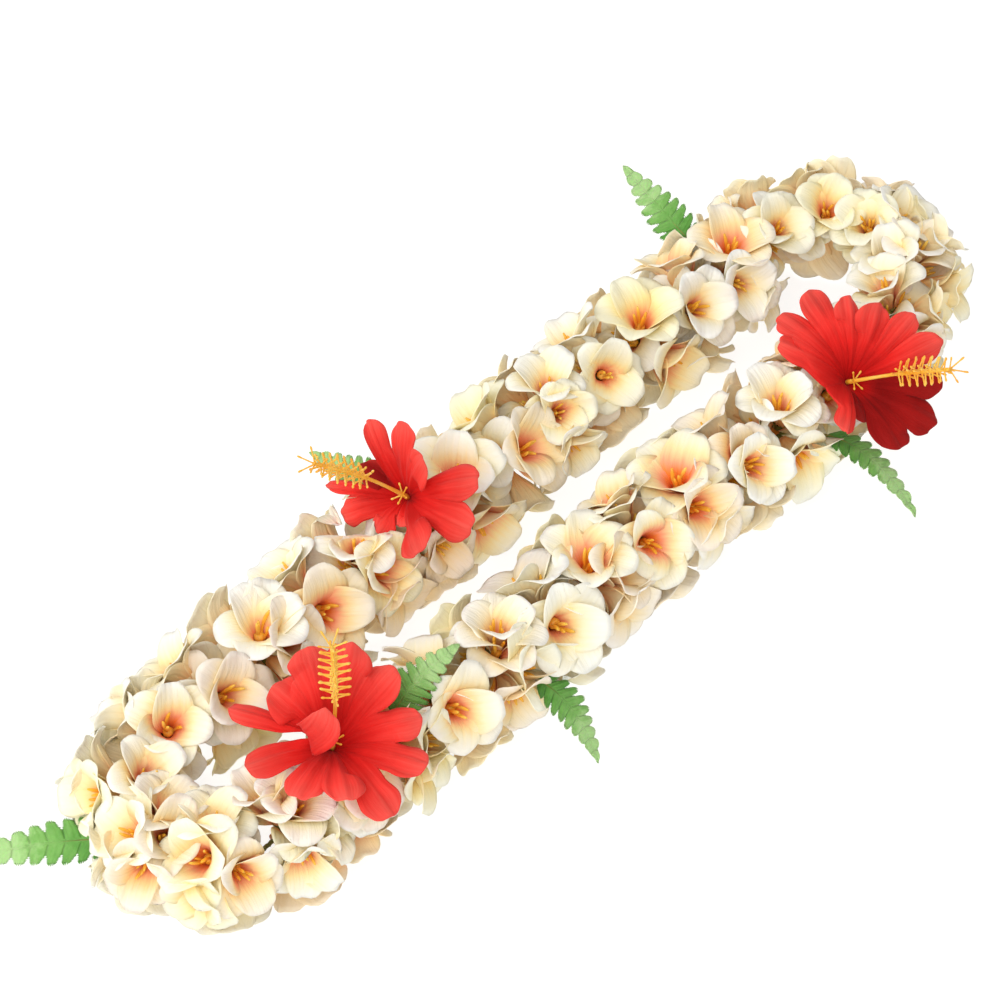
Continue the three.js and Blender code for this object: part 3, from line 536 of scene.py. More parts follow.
def tube(line, radii, sides, guide=(0.3, 0.2, 1)):
    """A round bar through a line of points, with flat ends"""
    line = np.asarray(line, float)
    ahead = np.gradient(line, axis=0)
    ahead /= np.linalg.norm(ahead, axis=1, keepdims=True)
    first = np.cross(np.array(guide, float), ahead)
    first /= np.linalg.norm(first, axis=1, keepdims=True)
    second = np.cross(ahead, first)
    angles = (np.arange(sides) * 2 * math.pi / sides)[None, :, None]
    spokes = np.cos(angles) * first[:, None] + np.sin(angles) * second[:, None]
    rings = line[:, None] + np.asarray(radii)[:, None, None] * spokes
    count = len(line)
    faces = []
    for n in range(count - 1):
        for s in range(sides):
            a, b = n * sides + s, n * sides + (s + 1) % sides
            faces.append((a, b, b + sides, a + sides))
    faces.append(tuple(reversed(range(sides))))
    faces.append(tuple(range((count - 1) * sides, count * sides)))
    return rings.reshape(-1, 3), faces


def together(parts):
    """Several bodies as the points and faces of one piece"""
    points, faces, first = [], [], 0
    for part_points, part_faces in parts:
        points.append(part_points)
        faces += [tuple(v + first for v in face) for face in part_faces]
        first += len(part_points)
    return np.vstack(points), faces


def toward(first, second, angle):
    return math.cos(angle) * first + math.sin(angle) * second


calyx_green = {0.3: "4f5a22", 0.55: "7a7a34", 0.75: "a08a40"}
green_finish = speckled("calyx_plastic", 0.55, calyx_green, 260, (0.4, 0.3), Specular_IOR_Level=0.4)
for name, flower in hibiscus_flowers.items():
    centre, up, first, second = flower_frame(flower)
    foot = mix(stations[flower["station"] % CLUSTERS]["centre"], centre, STEM_FOOT)
    stem = [mix(foot, centre - STEM_CUP_DEPTHS[0] * up, share) for share in np.linspace(0, 1, 8)]
    stem += [centre - depth * up for depth in STEM_CUP_DEPTHS[1:]]
    parts = [tube(stem, [STEM_RADIUS] * 7 + [*STEM_CUP_RADII], 12)]
    for n in range(SEPALS):
        away = toward(first, second, n * 2 * math.pi / SEPALS)
        sepal = [centre + (high - SEPAL_DEPTH) * up + out * away for high, out in SEPAL_LINE]
        parts.append(tube(sepal, SEPAL_RADII, 6))
    calyx = object_of(f"hibiscus_calyx_{name}", *together(parts))
    calyx.data.materials.append(green_finish)
    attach(calyx, "root")


# The pistils: one yellow-orange plastic moulding for each hibiscus, with a bare stalk, a brush of short
# knobbed stamens in rows, five forked tips at its end, and a small star of stamens at the throat.
PISTIL_LENGTH = 78.0
PISTIL_BOW = 2.2
STALK_POINTS = 26
STALK_HEIGHTS = 0, 6, 20, 34, 40, 66, 73
STALK_RADII = 1.4, 1.0, 0.82, 0.82, 1.1, 1.0, 0.8
BRISTLE_HEIGHTS = 0, 1.5, 5.0, 5.7, 6.4, 7.0
BRISTLE_RADII = 0.55, 0.42, 0.38, 0.55, 0.58, 0.3
BRUSH = 0.45, 0.87  # where the brush starts and ends, as shares of the length
BRUSH_ROWS = 13
BRUSH_SIDES = 4
BRUSH_STAGGER = 0.1
BRISTLE_RISE = 0.34
BRISTLE_LEAST, BRISTLE_SWELL = 0.72, 0.36  # of its length, and more in the brush's middle
# a ring of bristles: how many, the turn of the first, how high on the stalk, how steeply up, and its size
TIPS = 5, 0.3, PISTIL_LENGTH - 6, 0.9, (0.9, 0.9, 1.25)
STAR = 6, 0.5, 5, 0.6, (0.95, 0.95, 0.85)

repeats, given = tree_with(
    "shapes on points", {"Shapes": "Collection", "Finish": "Material", "Shake": "Float", "Seed": "Int"}
)
parted = {"Collection": given["Shapes"], "Separate Children": True, "Reset Children": True}
shapes = add(repeats, "GeometryNodeCollectionInfo", parted)
which, stand, reach = (
    add(repeats, "GeometryNodeInputNamedAttribute", {"Name": name}, data_type=kind)
    for name, kind in (("shape", "INT"), ("stand", "FLOAT_VECTOR"), ("reach", "FLOAT_VECTOR"))
)
back = maths(repeats, "MULTIPLY", given["Shake"], -1.0)
shake = {0: back, 1: given["Shake"], "Seed": given["Seed"]}
shake = add(repeats, "FunctionNodeRandomValue", shake, data_type="FLOAT_VECTOR")
stand, shake = (add(repeats, "FunctionNodeEulerToRotation", {"Euler": euler}) for euler in (stand, shake))
stand = {"Rotation": stand, "Rotate By": shake}
stand = add(repeats, "FunctionNodeRotateRotation", stand, rotation_space="LOCAL")
picked = {"Pick Instance": True, "Instance Index": which, "Rotation": stand, "Scale": reach}
placed = {"Points": given["Geometry"], "Instance": shapes, **picked}
placed = add(repeats, "GeometryNodeInstanceOnPoints", placed)
placed = add(repeats, "GeometryNodeRealizeInstances", {"Geometry": placed})
end_tree(repeats, placed, given["Finish"])


def shelf_of(name, shapes):
    """The shapes that are repeated, kept in a collection of their own, in mm round their own origin"""
    shelf = bpy.data.collections.new(name)
    for shape in shapes:
        shape.data.transform(Matrix.Translation(Vector(-MIDDLE * MM)))
        bpy.context.scene.collection.objects.unlink(shape)
        shelf.objects.link(shape)
    return shelf


def repeated(name, shelf, finish, where, shake=0.0, seed=1):
    """One piece of many shapes: where lists (place, turning as columns, scale, shape, marks)"""
    places, turns, scales, kinds, marks = zip(*where)
    piece = object_of(name, np.array(places), [], {mark: [m[mark] for m in marks] for mark in marks[0]})
    eulers = [Matrix(np.array(turn).T.tolist()).to_euler() for turn in turns]
    for mark, kind, field, values in (
        ("stand", "FLOAT_VECTOR", "vector", np.array(eulers, np.float32)),
        ("reach", "FLOAT_VECTOR", "vector", np.array(scales, np.float32)),
        ("shape", "INT", "value", np.array(kinds, np.int32)),
    ):
        piece.data.attributes.new(mark, kind, "POINT").data.foreach_set(field, values.ravel())
    grown(piece, repeats, {"Shapes": shelf, "Finish": finish, "Shake": shake, "Seed": seed})
    attributes = piece.data.attributes
    for spare in ("stand", "reach", "shape"):
        if spare in attributes:
            attributes.remove(attributes[spare])
    return piece


def turned_to(direction, guide):
    """Three directions at right angles, the third along direction"""
    third = unit(np.asarray(direction, float))
    first = unit(np.cross(np.asarray(guide, float), third))
    return np.array([first, np.cross(third, first), third])


def upright_tube(name, heights, radii, sides):
    return object_of(name, *tube([[0, 0, high] for high in heights], radii, sides, (1, 0, 0)))


yellow_finish = speckled(
    "yellow_plastic", 0.42, {0.3: "f0a428", 0.5: "f6bb42", 0.7: "fad064"}, 90, (0.25, 0.1), 2, 1400,
    Specular_IOR_Level=0.45, Subsurface_Weight=0.2, Subsurface_Radius=(1.0, 0.45, 0.1),
    Subsurface_Scale=0.002,
)
bristles = shelf_of("bristle shapes", [upright_tube("bristle", BRISTLE_HEIGHTS, BRISTLE_RADII, 6)])
for seed, (name, flower) in enumerate(hibiscus_flowers.items()):
    centre, up, first, second = flower_frame(flower)

    def stalk_at(height):
        return centre + height * up + PISTIL_BOW * math.sin(height / PISTIL_LENGTH * math.pi) * first

    rings = []
    for row in range(BRUSH_ROWS):
        share = row / (BRUSH_ROWS - 1)
        long = BRISTLE_LEAST + BRISTLE_SWELL * math.sin(math.pi * mix(0.18, 0.9, share))
        height = mix(*BRUSH, share) * PISTIL_LENGTH
        rings.append((BRUSH_SIDES, 0.5 + BRUSH_STAGGER * (-1) ** row, height, BRISTLE_RISE, (1, 1, long)))
    where = []
    for count, turn, height, rise, size in (*rings, TIPS, STAR):
        for n in range(count):
            away = toward(first, second, (n + turn) / count * 2 * math.pi) + rise * up
            where.append((stalk_at(height), turned_to(away, up), size, 0, {}))
    brush = repeated(f"pistil_brush_{name}", bristles, yellow_finish, where, 0.06, 11 + seed)
    heights = np.linspace(0.5, PISTIL_LENGTH - 5, STALK_POINTS)
    thick = np.interp(heights, STALK_HEIGHTS, STALK_RADII)
    stalk = object_of(f"pistil_stalk_{name}", *tube([stalk_at(h) for h in heights], thick, 14, second))
    stalk.data.materials.append(yellow_finish)
    for piece in (brush, stalk):
        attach(piece, "root")
    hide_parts(f"pistil_{name}")


# The fern leaves: green fabric stamped with lobes and fine teeth on both edges, pressed along a midrib, on
# a thin plastic rib that is fixed to a hub. Each is bent by a control point; face is the side that shows.
FERN_HALF_WIDTH = 10.0
FERN_THICKNESS = 0.5
FERN_LOBES = 9
FERN_ROWS = 5, 9  # up to the clefts, and beyond them
FERN_COLUMNS = 9
FERN_CLEFT = 0.58, 0.97  # how far out it starts, at most places and near the tip
FERN_TOOTH, FERN_END_TOOTH = 0.18, 0.2  # along a lobe's edges, and at its end
FERN_SWEEP = 0.42  # the lobes point forward by this much
RIB_POINTS = 40
FERN_PLEAT = 0.35
MIDRIB_DEPTH, MIDRIB_WIDTH = 0.5, 1.1
LEAF_FACTS = "station", "bend", "tip", "face", "stem"
leaf_rows = {
    "a": (-8, [-262, 28, 30], [-304, 67, 9], [-0.2, -0.3, 1], 0.25),
    "b": (-4, [-138, -38, 68], [-95, -42, 71], [-0.4, -0.3, 1], 0.3),
    "c": (-2, [-58, -75, 40], [-67, -102, 8], [0.3, -0.6, 1], 0.3),
    "d": (18, [-48, 52, 53], [-57, 96, 53], [-0.2, -0.2, 1], 0.35),
    "e": (12, [167, 66, 58], [191, 124, 43], [-0.5, -0.2, 1], 0.3),
    "f": (4, [146, -76, 45], [133, -121, 22], [0.3, -0.1, 0.9], 0.3),
}
fern_leaves = {name: dict(zip(LEAF_FACTS, facts)) for name, facts in leaf_rows.items()}


def fern_spine(leaf, share):
    share = np.asarray(share, float)[..., None]
    hub = stations[leaf["station"] % CLUSTERS]["centre"]
    bend, tip = np.array(leaf["bend"], float), np.array(leaf["tip"], float)
    start = hub + 2 * unit(bend - hub)
    return start * (1 - share) ** 2 + 2 * share * (1 - share) * bend + share**2 * tip


def fern_frame(leaf, share):
    """The spine's points, and there the directions ahead, to the side and out of the face"""
    ahead = fern_spine(leaf, share + 0.01) - fern_spine(leaf, share - 0.01)
    ahead /= np.linalg.norm(ahead, axis=-1, keepdims=True)
    side = np.cross(np.array(leaf["face"], float), ahead)
    side /= np.linalg.norm(side, axis=-1, keepdims=True)
    return fern_spine(leaf, share), ahead, side, np.cross(ahead, side)


def fern_width(u):
    return 1.96 * FERN_HALF_WIDTH * np.clip(u, 0.004, 1) ** 0.3 * np.clip(1 - u, 0, 1) ** 0.9


def fern_row(row, cleft, across):
    """One row of a lobe's points: x along its free end, y across it, and how far out of the midrib it is"""
    inner, outer = FERN_ROWS
    if row < inner:
        return 0 * across, across, cleft * row / (inner - 1)
    x, y = rounded((row - inner + 1) / outer, across, 0.4)
    y = y * (1 - 0.3 * eased(x, 0, 0.4))
    if row == inner + outer - 1:
        x = x + FERN_END_TOOTH * np.cos(math.pi * np.arange(FERN_COLUMNS))
    y = y * (1 + FERN_TOOTH * (-1) ** row * (np.abs(across) == 1))
    return x, y, cleft + (1 - cleft) * x


def fern_sheet(name, leaf, seed):
    vary = random.Random(seed)
    across = np.linspace(-1, 1, FERN_COLUMNS)
    rows = sum(FERN_ROWS)
    points, marks, faces = [], {"along": [], "across": [], "petal": []}, []
    for hand in (1, -1):
        for lobe in range(FERN_LOBES):
            lift, droop = vary.uniform(-0.5, 0.9), vary.uniform(0.1, 0.17)
            cleft = mix(*FERN_CLEFT, eased((lobe + 0.5 + across / 2) / FERN_LOBES, 0.72, 0.97))
            for row in range(rows):
                x, y, out = fern_row(row, cleft, across)
                u = (lobe + 0.5 + y / 2) / FERN_LOBES
                far = fern_width(u) * out
                spine, ahead, side, normal = fern_frame(leaf, mix(leaf["stem"], 1.0, u))
                sweep = FERN_SWEEP * far * (1 - 0.3 * u)
                rise = -droop * far + lift * eased(x, 0, 1)
                rise = rise + FERN_PLEAT * np.cos(math.pi * y) * eased(out, 0.1, 0.6)
                rise = rise - MIDRIB_DEPTH * np.exp(-((far / MIDRIB_WIDTH) ** 2))
                aside, forward, up = (size[:, None] for size in (hand * far, sweep, rise))
                points.append(spine + aside * side + forward * ahead + up * normal)
                marks["along"].append(u)
                marks["across"].append(hand * out)
                marks["petal"].append(across * (out > 0))
            sheet = grid_faces(rows, FERN_COLUMNS, (len(points) - rows) * FERN_COLUMNS)
            faces += sheet if hand > 0 else [tuple(reversed(face)) for face in sheet]
    marks = {mark: np.concatenate(values) for mark, values in marks.items()}
    points, faces, marks = joined(np.vstack(points), faces, marks)
    return closed_sheet(name, points, [tuple(reversed(face)) for face in faces], FERN_THICKNESS, marks)


fern_finish, fern_tree = finish_of(
    "fern_fabric", 0.62, Sheen_Weight=0.1, Specular_IOR_Level=0.3, Subsurface_Weight=0.15,
    Subsurface_Radius=(0.3, 1.0, 0.2), Subsurface_Scale=0.002,
)
along, beside = marks_of(fern_tree, "along", "petal")
mottle = noise(fern_tree, on_object(fern_tree), 170, 4, Roughness=0.6)
depth = maths(fern_tree, "MULTIPLY_ADD", mottle, 0.7, along)
leaf_green = {0.2: "3a7428", 0.5: "5c983f", 0.8: "7cb05a", 1.4: "a6cc86"}
linked(fern_tree, "Base Color", ramp(fern_tree, depth, leaf_green))
vein = maths(fern_tree, "COSINE", maths(fern_tree, "MULTIPLY", beside, 9.0))
bumped(fern_tree, maths(fern_tree, "MULTIPLY_ADD", vein, 0.3, mottle), 0.6, 0.6)

for seed, (name, leaf) in enumerate(fern_leaves.items()):
    blade = fern_sheet(f"fern_leaf_{name}", leaf, 40 + seed)
    blade.data.materials.append(fern_finish)
    spine, _, _, normal = fern_frame(leaf, np.linspace(0, 0.94, RIB_POINTS))
    rib = object_of(f"fern_rib_{name}", *tube(spine - 0.8 * normal, np.linspace(1.1, 0.15, RIB_POINTS), 8))
    rib.data.materials.append(green_finish)
    for piece in (blade, rib):
        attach(piece, "root")
    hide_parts(f"fern_{name}")


# The hubs: small ribbed plastic sleeves of an amber colour, threaded on the string, one for each cluster of
# blossoms.
HUB_LENGTH = 13.0
HUB_SIDES = 14
HUB_RADII = 2.9, 3.1, 2.5, 2.4, 2.7, 2.4, 2.4, 2.4, 2.4, 2.7, 2.4, 2.5, 3.1, 2.9

amber = {0.3: "8a4d12", 0.5: "c9741c", 0.7: "e0902c"}
hub_finish = speckled("hub_plastic", 0.5, amber, 120, (0.3, 0.2), Specular_IOR_Level=0.4)
hub_heights = np.linspace(-HUB_LENGTH / 2, HUB_LENGTH / 2, len(HUB_RADII))
hub_shapes = shelf_of("hub shapes", [upright_tube("hub", hub_heights, HUB_RADII, HUB_SIDES)])
hub_places = [(s["centre"], turned_to(s["tangent"], UP), (1, 1, 1), 0, {}) for s in stations]
hubs = repeated("hubs", hub_shapes, hub_finish, hub_places)
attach(hubs, "root")


# The blossoms: four large ones on each hub, and small ones low between them. Each is a trumpet of ivory
# silk petals in two whorls that shade to yellow and to an orange-pink blush at the throat. They crowd
# against the next cluster, the leaves, the hibiscus and the floor, and bend where they meet them.
BLOSSOMS_PER_CLUSTER = 4
CLUSTER_GAP = 0.3
SEAM_TILT, LEAST_SEAM_TILT = 0.34, 0.2  # radians, and the share of it that is left in the bends
SEAM_YAW, SEAM_PITCH = 1.6, 2
SEAM_HARDNESS = 5  # how suddenly a petal is bent back as it nears a seam
LEAST_HALF_ROOM = 0.8
SHARP_BEND = 0.3  # radians; blossoms spread outward where the string turns more than this in their cluster
SPREAD_HEIGHT = 25.0
ANGLE_SPREAD = 0.2
LEAN_SPREAD, BEND_LEAN_SPREAD = 0.5, 0.4  # and the share of it that is left in the bends
BEND_LEAN = 0.5
PAIR_REACH, PAIR_OVERLAP = 14.0, 9.0
OPEN_RANGE = 0.92, 1.06
CROWDED_OPEN = 0.35  # a share, where there is no room to open
LEFT_OUT = {20: 1}  # one more blossom that the middle hibiscus leaves no room for
# the large blossoms of a cluster in a sharp bend: the angle of each, and the way it leans along the string
BEND_BLOSSOMS = ((0.55, 1), (1.95, 0), (0.25, -1), (-1.2, 0))
# the small ones: quarter turns round the string, and how far each leans along it
FILLERS = ((0.5, 0.7), (1.5, -0.75), (2.5, 0.75), (3.5, -0.7), (1.0, 0.95))
BEND_FILLERS = ((0.75, 0.1), (1.6, 0.35), (0.1, 0.1), (-0.5, 0.4), (1.25, -0.3))
FILLER_OPEN = 0.84, 0.96
# and, by cluster, one or two more of a middling rank where a hibiscus or a leaf leaves a gap
GAP_FILLERS = {
    0: ((0.4, 0.5),), 1: ((1.35, 0.0),), 2: ((0.5, 0.0),), 3: ((0.8, -0.3),), 4: ((0.9, 0.4),),
    5: ((0.5, -0.2),), 8: ((0.8, 0.2),), 9: ((0.8, -0.2),), 12: ((1.6, 0.2),), 16: ((1.4, 0.3),),
    19: ((1.7, 0.1),), 20: ((1.5, -0.3), (0.95, 0.0)), 22: ((1.5, -0.3),), 26: ((0.75, -0.4), (0.9, 0.5)),
    27: ((0.8, -0.5),), 28: ((0.9, 0.1),), 29: ((0.4, -0.2),), 30: ((0.3, 0.3),),
    32: ((0.8, 0.2), (0.4, 0.4)), 33: ((1.2, 0.4),),
}

draw_state = 20240817


def draw():
    """A repeatable draw between 0 and 1"""
    global draw_state
    draw_state = draw_state * 16807 % 2147483647
    return draw_state / 2147483647


def turned(vector, axis, angle):
    return np.array(Matrix.Rotation(angle, 3, Vector(axis)) @ Vector(vector))


def turn_at(k):
    before, after = stations[k - 1]["tangent"], stations[k % CLUSTERS]["tangent"]
    return math.acos(min(1, float(before @ after)))


seams = []
for k in range(CLUSTERS):
    square = unit(stations[k - 1]["tangent"] + stations[k]["tangent"])
    tilt = SEAM_TILT * max(LEAST_SEAM_TILT, 1 - turn_at(k) / SHARP_BEND)
    yaw = tilt * (draw() - 0.5) * SEAM_YAW
    pitch = tilt * (draw() - 0.5) * SEAM_PITCH
    seams.append(unit(turned(turned(square, UP, yaw), stations[k]["outward"], pitch)))


def room_at(points, k, side):
    """How far along the string each point may still move before it meets either seam of its cluster"""
    station = stations[k]
    tangent, centre = station["tangent"], station["centre"]
    first, second = seams[k], seams[(k + 1) % CLUSTERS]
    near = np.minimum(1, np.linalg.norm(points - centre, axis=1) / PAIR_REACH)
    from_middle = (points - centre) @ tangent * side + mix(PAIR_OVERLAP, -CLUSTER_GAP, near)
    back = (points - station["start"]) @ first / (tangent @ first)
    ahead = (station["end"] - points) @ second / (tangent @ second)
    return np.where(side > 0, from_middle, back), np.where(side < 0, from_middle, ahead)


def kept_in_cluster(points, k, side, spare):
    """Bends back what reaches past the cluster's seams by more than spare, ever more gently"""
    back, ahead = room_at(points, k, side)
    half = np.maximum((back + ahead) / 2 + spare, LEAST_HALF_ROOM)
    offset = (back - ahead) / 2
    bent = offset / (1 + np.abs(offset / half) ** SEAM_HARDNESS) ** (1 / SEAM_HARDNESS)
    return points + (bent - offset)[:, None] * stations[k]["tangent"]


HIBISCUS_CLEARANCE = 1.6
HIBISCUS_HEADROOM = 30.0
HIBISCUS_REACH = 95.0  # clusters farther from its throat than this don't meet it
FERN_GAP = 0.9
FERN_HEADROOM = 6.0
FERN_REACH = 110.0  # and from a leaf's bend
SQUEEZE = np.linspace(0.97, 0.3, 24)
FLOOR_NEAR, FLOOR_GAP, FLOOR_SOFTNESS = 2.2, 0.5, 1.7


def over_hibiscus(points, flower):
    """How far each point is above the underside of a hibiscus, or less than 0 where it is clear of it"""
    centre, up, first, second = flower_frame(flower)
    away = points - centre
    high, x, y = away @ up, away @ first, away @ second
    across = np.hypot(x, y)
    flat = [lobe[:3] for i, lobe in enumerate(flower["lobes"]) if i not in flower["folded"]]
    lobes = np.array(flat, float)
    lobes = np.vstack([lobes[-1] - [360, 0, 0], lobes, lobes[0] + [360, 0, 0]])
    angle = (np.degrees(np.arctan2(y, x)) - lobes[1, 0]) % 360 + lobes[1, 0]
    rise, length = (np.interp(angle, lobes[:, 0], lobes[:, n]) for n in (1, 2))
    tip_out = profile_of(rise, length, 1.0)[0]
    # the share along the lobe's midline, a parabola, at which it is as far out as the point
    bow = (profile_of(rise, length, 0.5)[0] - LOBE_START / 4 - tip_out / 4) * 2
    a, b, c = LOBE_START - 2 * bow + tip_out, 2 * bow - 2 * LOBE_START, LOBE_START - across
    a = np.where(np.abs(a) < 1e-6, 1e-6, a)
    share = (-b + np.sqrt(np.maximum(b * b - 4 * a * c, 0))) / (2 * a)
    share = np.clip(np.where(across < LOBE_START, 0, share), 0, 1)
    sheet = profile_of(rise, length, share)[1] - HIBISCUS_CLEARANCE
    over = high - sheet - 2.5 * np.maximum(across - tip_out - 1.0, 0)
    return np.where(high > sheet + HIBISCUS_HEADROOM, -1.0, over)


def through_fern(points, leaf):
    """How deep each point lies within a leaf or close above it, or less than 0 where it is clear of it"""
    shares = np.linspace(0.05, 1, 60)
    spine, _, side, normal = fern_frame(leaf, shares)
    nearest = np.argmin(np.linalg.norm(points[:, None] - spine[None], axis=2), axis=1)
    away = points - spine[nearest]
    u = (shares[nearest] - leaf["stem"]) / (1 - leaf["stem"])
    wide = np.where(u > 0, fern_width(u), 1.5) + 1.0
    out = np.abs(np.einsum("ij,ij->i", away, side[nearest]))
    high = np.einsum("ij,ij->i", away, normal[nearest]) + 0.14 * out
    inside = (out < wide) & (high > -FERN_GAP) & (high < FERN_HEADROOM)
    return np.where(inside, high + FERN_GAP, -1.0)


def settled(points, k, side, spare):
    """Where a blossom's points come to lie among what is round them"""
    points = kept_in_cluster(points, k, side, spare)
    centre = stations[k]["centre"]
    blocks = []
    for test, things, middle, reach in (
        (over_hibiscus, hibiscus_flowers, "throat", HIBISCUS_REACH),
        (through_fern, fern_leaves, "bend", FERN_REACH),
    ):
        for thing in things.values():
            if np.linalg.norm(np.array(thing[middle]) - centre) < reach:
                blocks.append((test, thing))
    for test, thing in blocks:
        caught = np.flatnonzero(test(points, thing) > 0)
        if not len(caught):
            continue
        share = np.ones(len(caught))
        for step in SQUEEZE:
            still = test(centre + (points[caught] - centre) * share[:, None], thing) > 0
            share[still] = step
        points[caught] = centre + (points[caught] - centre) * share[:, None]
    low = points[:, 2] < FLOOR_NEAR
    points[low, 2] = FLOOR_GAP + FLOOR_SOFTNESS * np.exp((points[low, 2] - FLOOR_NEAR) / FLOOR_SOFTNESS)
    return points


PETAL_LENGTH = 31.0
PETAL_HALF_WIDTH = 12.4
PETAL_THICKNESS = 0.25
CLAW = 0.3  # the petal's width at its root, as a share
CLAW_END = 0.3  # of the length
PETAL_ROWS = 3, 7
PETAL_COLUMNS = 9
LINE_STEPS = 119
TUBE_RADIUS = 2.3
TUBE_BASE = 6.5  # from the string
TUBE_LEAN, TIP_CURL = 13, 32  # degrees
ROOT_CURVE = 2.9  # the radius of a petal's hollow at its root
OUTER_GAP = 0.5  # between the two whorls of petals
EDGE_ROLL = 0.9
CREASE_DEPTH, CREASE_WIDTH = 0.4, 0.2  # along the midline
# how far each petal leans out, and the radius of its hollow
OUTER_PETALS = ((62, 26), (68, 34), (82, 44), (66, 28), (76, 26))
INNER_PETALS = ((40, 16), (48, 20), (54, 24), (62, 28), (44, 18))


def petal_line(lean):
    """A petal's midline, in small steps from root to tip: how far it leans, how far out, and how high"""
    steps = np.linspace(0, 1, LINE_STEPS + 1)
    lean_at = np.radians(mix(TUBE_LEAN, lean, eased(steps, 0.12, 0.8)) + TIP_CURL * eased(steps, 0.62, 1))
    outs = TUBE_RADIUS + PETAL_LENGTH * np.append(0, np.cumsum(np.sin(lean_at[1:]) / LINE_STEPS))
    highs = TUBE_BASE + PETAL_LENGTH * np.append(0, np.cumsum(np.cos(lean_at[1:]) / LINE_STEPS))
    return steps, lean_at, outs, highs


def petal_shape(number, lean, hollow):
    vary = random.Random(number)
    outer_petal = number < len(OUTER_PETALS)
    claw_rows, blade_rows = PETAL_ROWS
    across = np.linspace(-1, 1, PETAL_COLUMNS)
    steps, *line = petal_line(lean)
    ripple, phase, sway = vary.uniform(0.2, 0.75), vary.uniform(0, 6), vary.uniform(-0.8, 0.8)
    notch = vary.uniform(-0.04, 0.1)
    points, alongs, acrosses = [], [], []
    for row in range(claw_rows + blade_rows):
        share, y = np.full(PETAL_COLUMNS, CLAW_END * row / claw_rows), across
        if row >= claw_rows:
            x, y = rounded((row - claw_rows) / (blade_rows - 1), across, 0.25)
            share = CLAW_END + (1 - CLAW_END) * x * (1 + notch * (1 - np.abs(across)) * eased(x, 0.6, 1))
        wide = PETAL_HALF_WIDTH * mix(CLAW, 1, eased(share, 0, 0.52)) * y
        curve = mix(ROOT_CURVE, hollow, eased(share, 0.02, 0.45 if outer_petal else 0.7))
        lean_here, out, high = (np.interp(share, steps, values) for values in line)
        blade = eased(share, 0.4, 1)
        lift = curve * (1 - np.cos(wide / curve)) + (0.45 + 0.5 * share) * across
        rolled = -EDGE_ROLL * blade * np.abs(y) ** 3
        lift += rolled + ripple * blade * np.sin(2.3 * math.pi * y + phase) + sway * blade * y
        crease = CREASE_DEPTH * np.exp(-((across / CREASE_WIDTH) ** 2)) * eased(share, 0.15, 0.5)
        lift -= crease * (1 - 0.7 * blade)
        if outer_petal:
            out = out + OUTER_GAP
        out, high = out - lift * np.cos(lean_here), high + lift * np.sin(lean_here)
        points.append(np.column_stack([out, curve * np.sin(wide / curve), high]))
        alongs.append(share)
        acrosses.append(y)
    faces = grid_faces(claw_rows + blade_rows, PETAL_COLUMNS)
    marks = {"along": np.concatenate(alongs), "across": np.concatenate(acrosses)}
    return closed_sheet(f"petal_{number:02}", np.vstack(points), faces, PETAL_THICKNESS, marks)


petal_shapes = shelf_of(
    "petal shapes", [petal_shape(n, *petal) for n, petal in enumerate(OUTER_PETALS + INNER_PETALS)]
)

ivory_finish, ivory_tree = finish_of(
    "ivory_silk", 0.7, Sheen_Weight=0.12, Sheen_Roughness=0.5, Specular_IOR_Level=0.2
)
along, across, outside, blush, tone = marks_of(ivory_tree, "along", "across", "outside", "blush", "tone")
streaks = streaked(ivory_tree, across, along, tone, (5, 1.4, 40), 1.3, 3)
shift = maths(ivory_tree, "MULTIPLY_ADD", streaks, 0.22, along)
shift = maths(ivory_tree, "MULTIPLY_ADD", blush, -0.3, shift)
inside = {
    0.0: "fd7a2a", 0.13: "ff9846", 0.26: "ffae88", 0.37: "ffd09c", 0.48: "ffe8ae", 0.61: "fdf3d0",
    0.8: "faf6e6", 1.0: "f9f8f2",
}
back = {0.0: "ffb068", 0.18: "ffcc90", 0.34: "ffdfaa", 0.52: "feedc2", 0.74: "fcf4d8", 1.0: "faf7e8"}
sides = {"Color1": ramp(ivory_tree, shift, inside), "Color2": ramp(ivory_tree, shift, back)}
silk = add(ivory_tree, "ShaderNodeMixRGB", {"Fac": outside, **sides})
warm = ramp(ivory_tree, tone, {0.0: "fff3ea", 0.35: "ffffff", 0.7: "ffffff", 1.0: "fffdea"})
linked(ivory_tree, "Base Color", tinted(ivory_tree, silk, warm))
weave = noise(ivory_tree, on_object(ivory_tree), 1500, 2)
bumped(ivory_tree, maths(ivory_tree, "MULTIPLY_ADD", weave, 0.15, streaks), 0.65, 1.0)


def settle_all(piece):
    """Bends a piece that stands in the blossoms to where it comes to lie"""
    count = len(piece.data.vertices)
    marks = {mark: np.zeros(count, np.float32) for mark in ("side", "spare", "cluster")}
    for mark, values in marks.items():
        piece.data.attributes[mark].data.foreach_get("value", values)
    places = np.zeros(count * 3, np.float32)
    piece.data.vertices.foreach_get("co", places)
    places = places.reshape(-1, 3) / MM - MIDDLE
    for k in range(CLUSTERS):
        mine = np.round(marks["cluster"]) == k
        if mine.any():
            places[mine] = settled(places[mine], k, marks["side"][mine], marks["spare"][mine])
    piece.data.vertices.foreach_set("co", ((places + MIDDLE) * MM).astype(np.float32).ravel())
    piece.data.update()


def is_sharp(k):
    return (turn_at(k) + turn_at(k + 1)) / 2 > SHARP_BEND


def blossom_axis(k, angle, lean):
    return unit(toward(stations[k]["outward"], UP, angle) + stations[k]["tangent"] * lean)


def narrowed(axis, k, side):
    """The share of its width that a blossom keeps where its cluster has little room"""
    back, ahead = room_at((stations[k]["centre"] + SPREAD_HEIGHT * axis)[None], k, side)
    return mix(CROWDED_OPEN, 1, min(1, float(back[0] + ahead[0]) / (loop_length / CLUSTERS)))


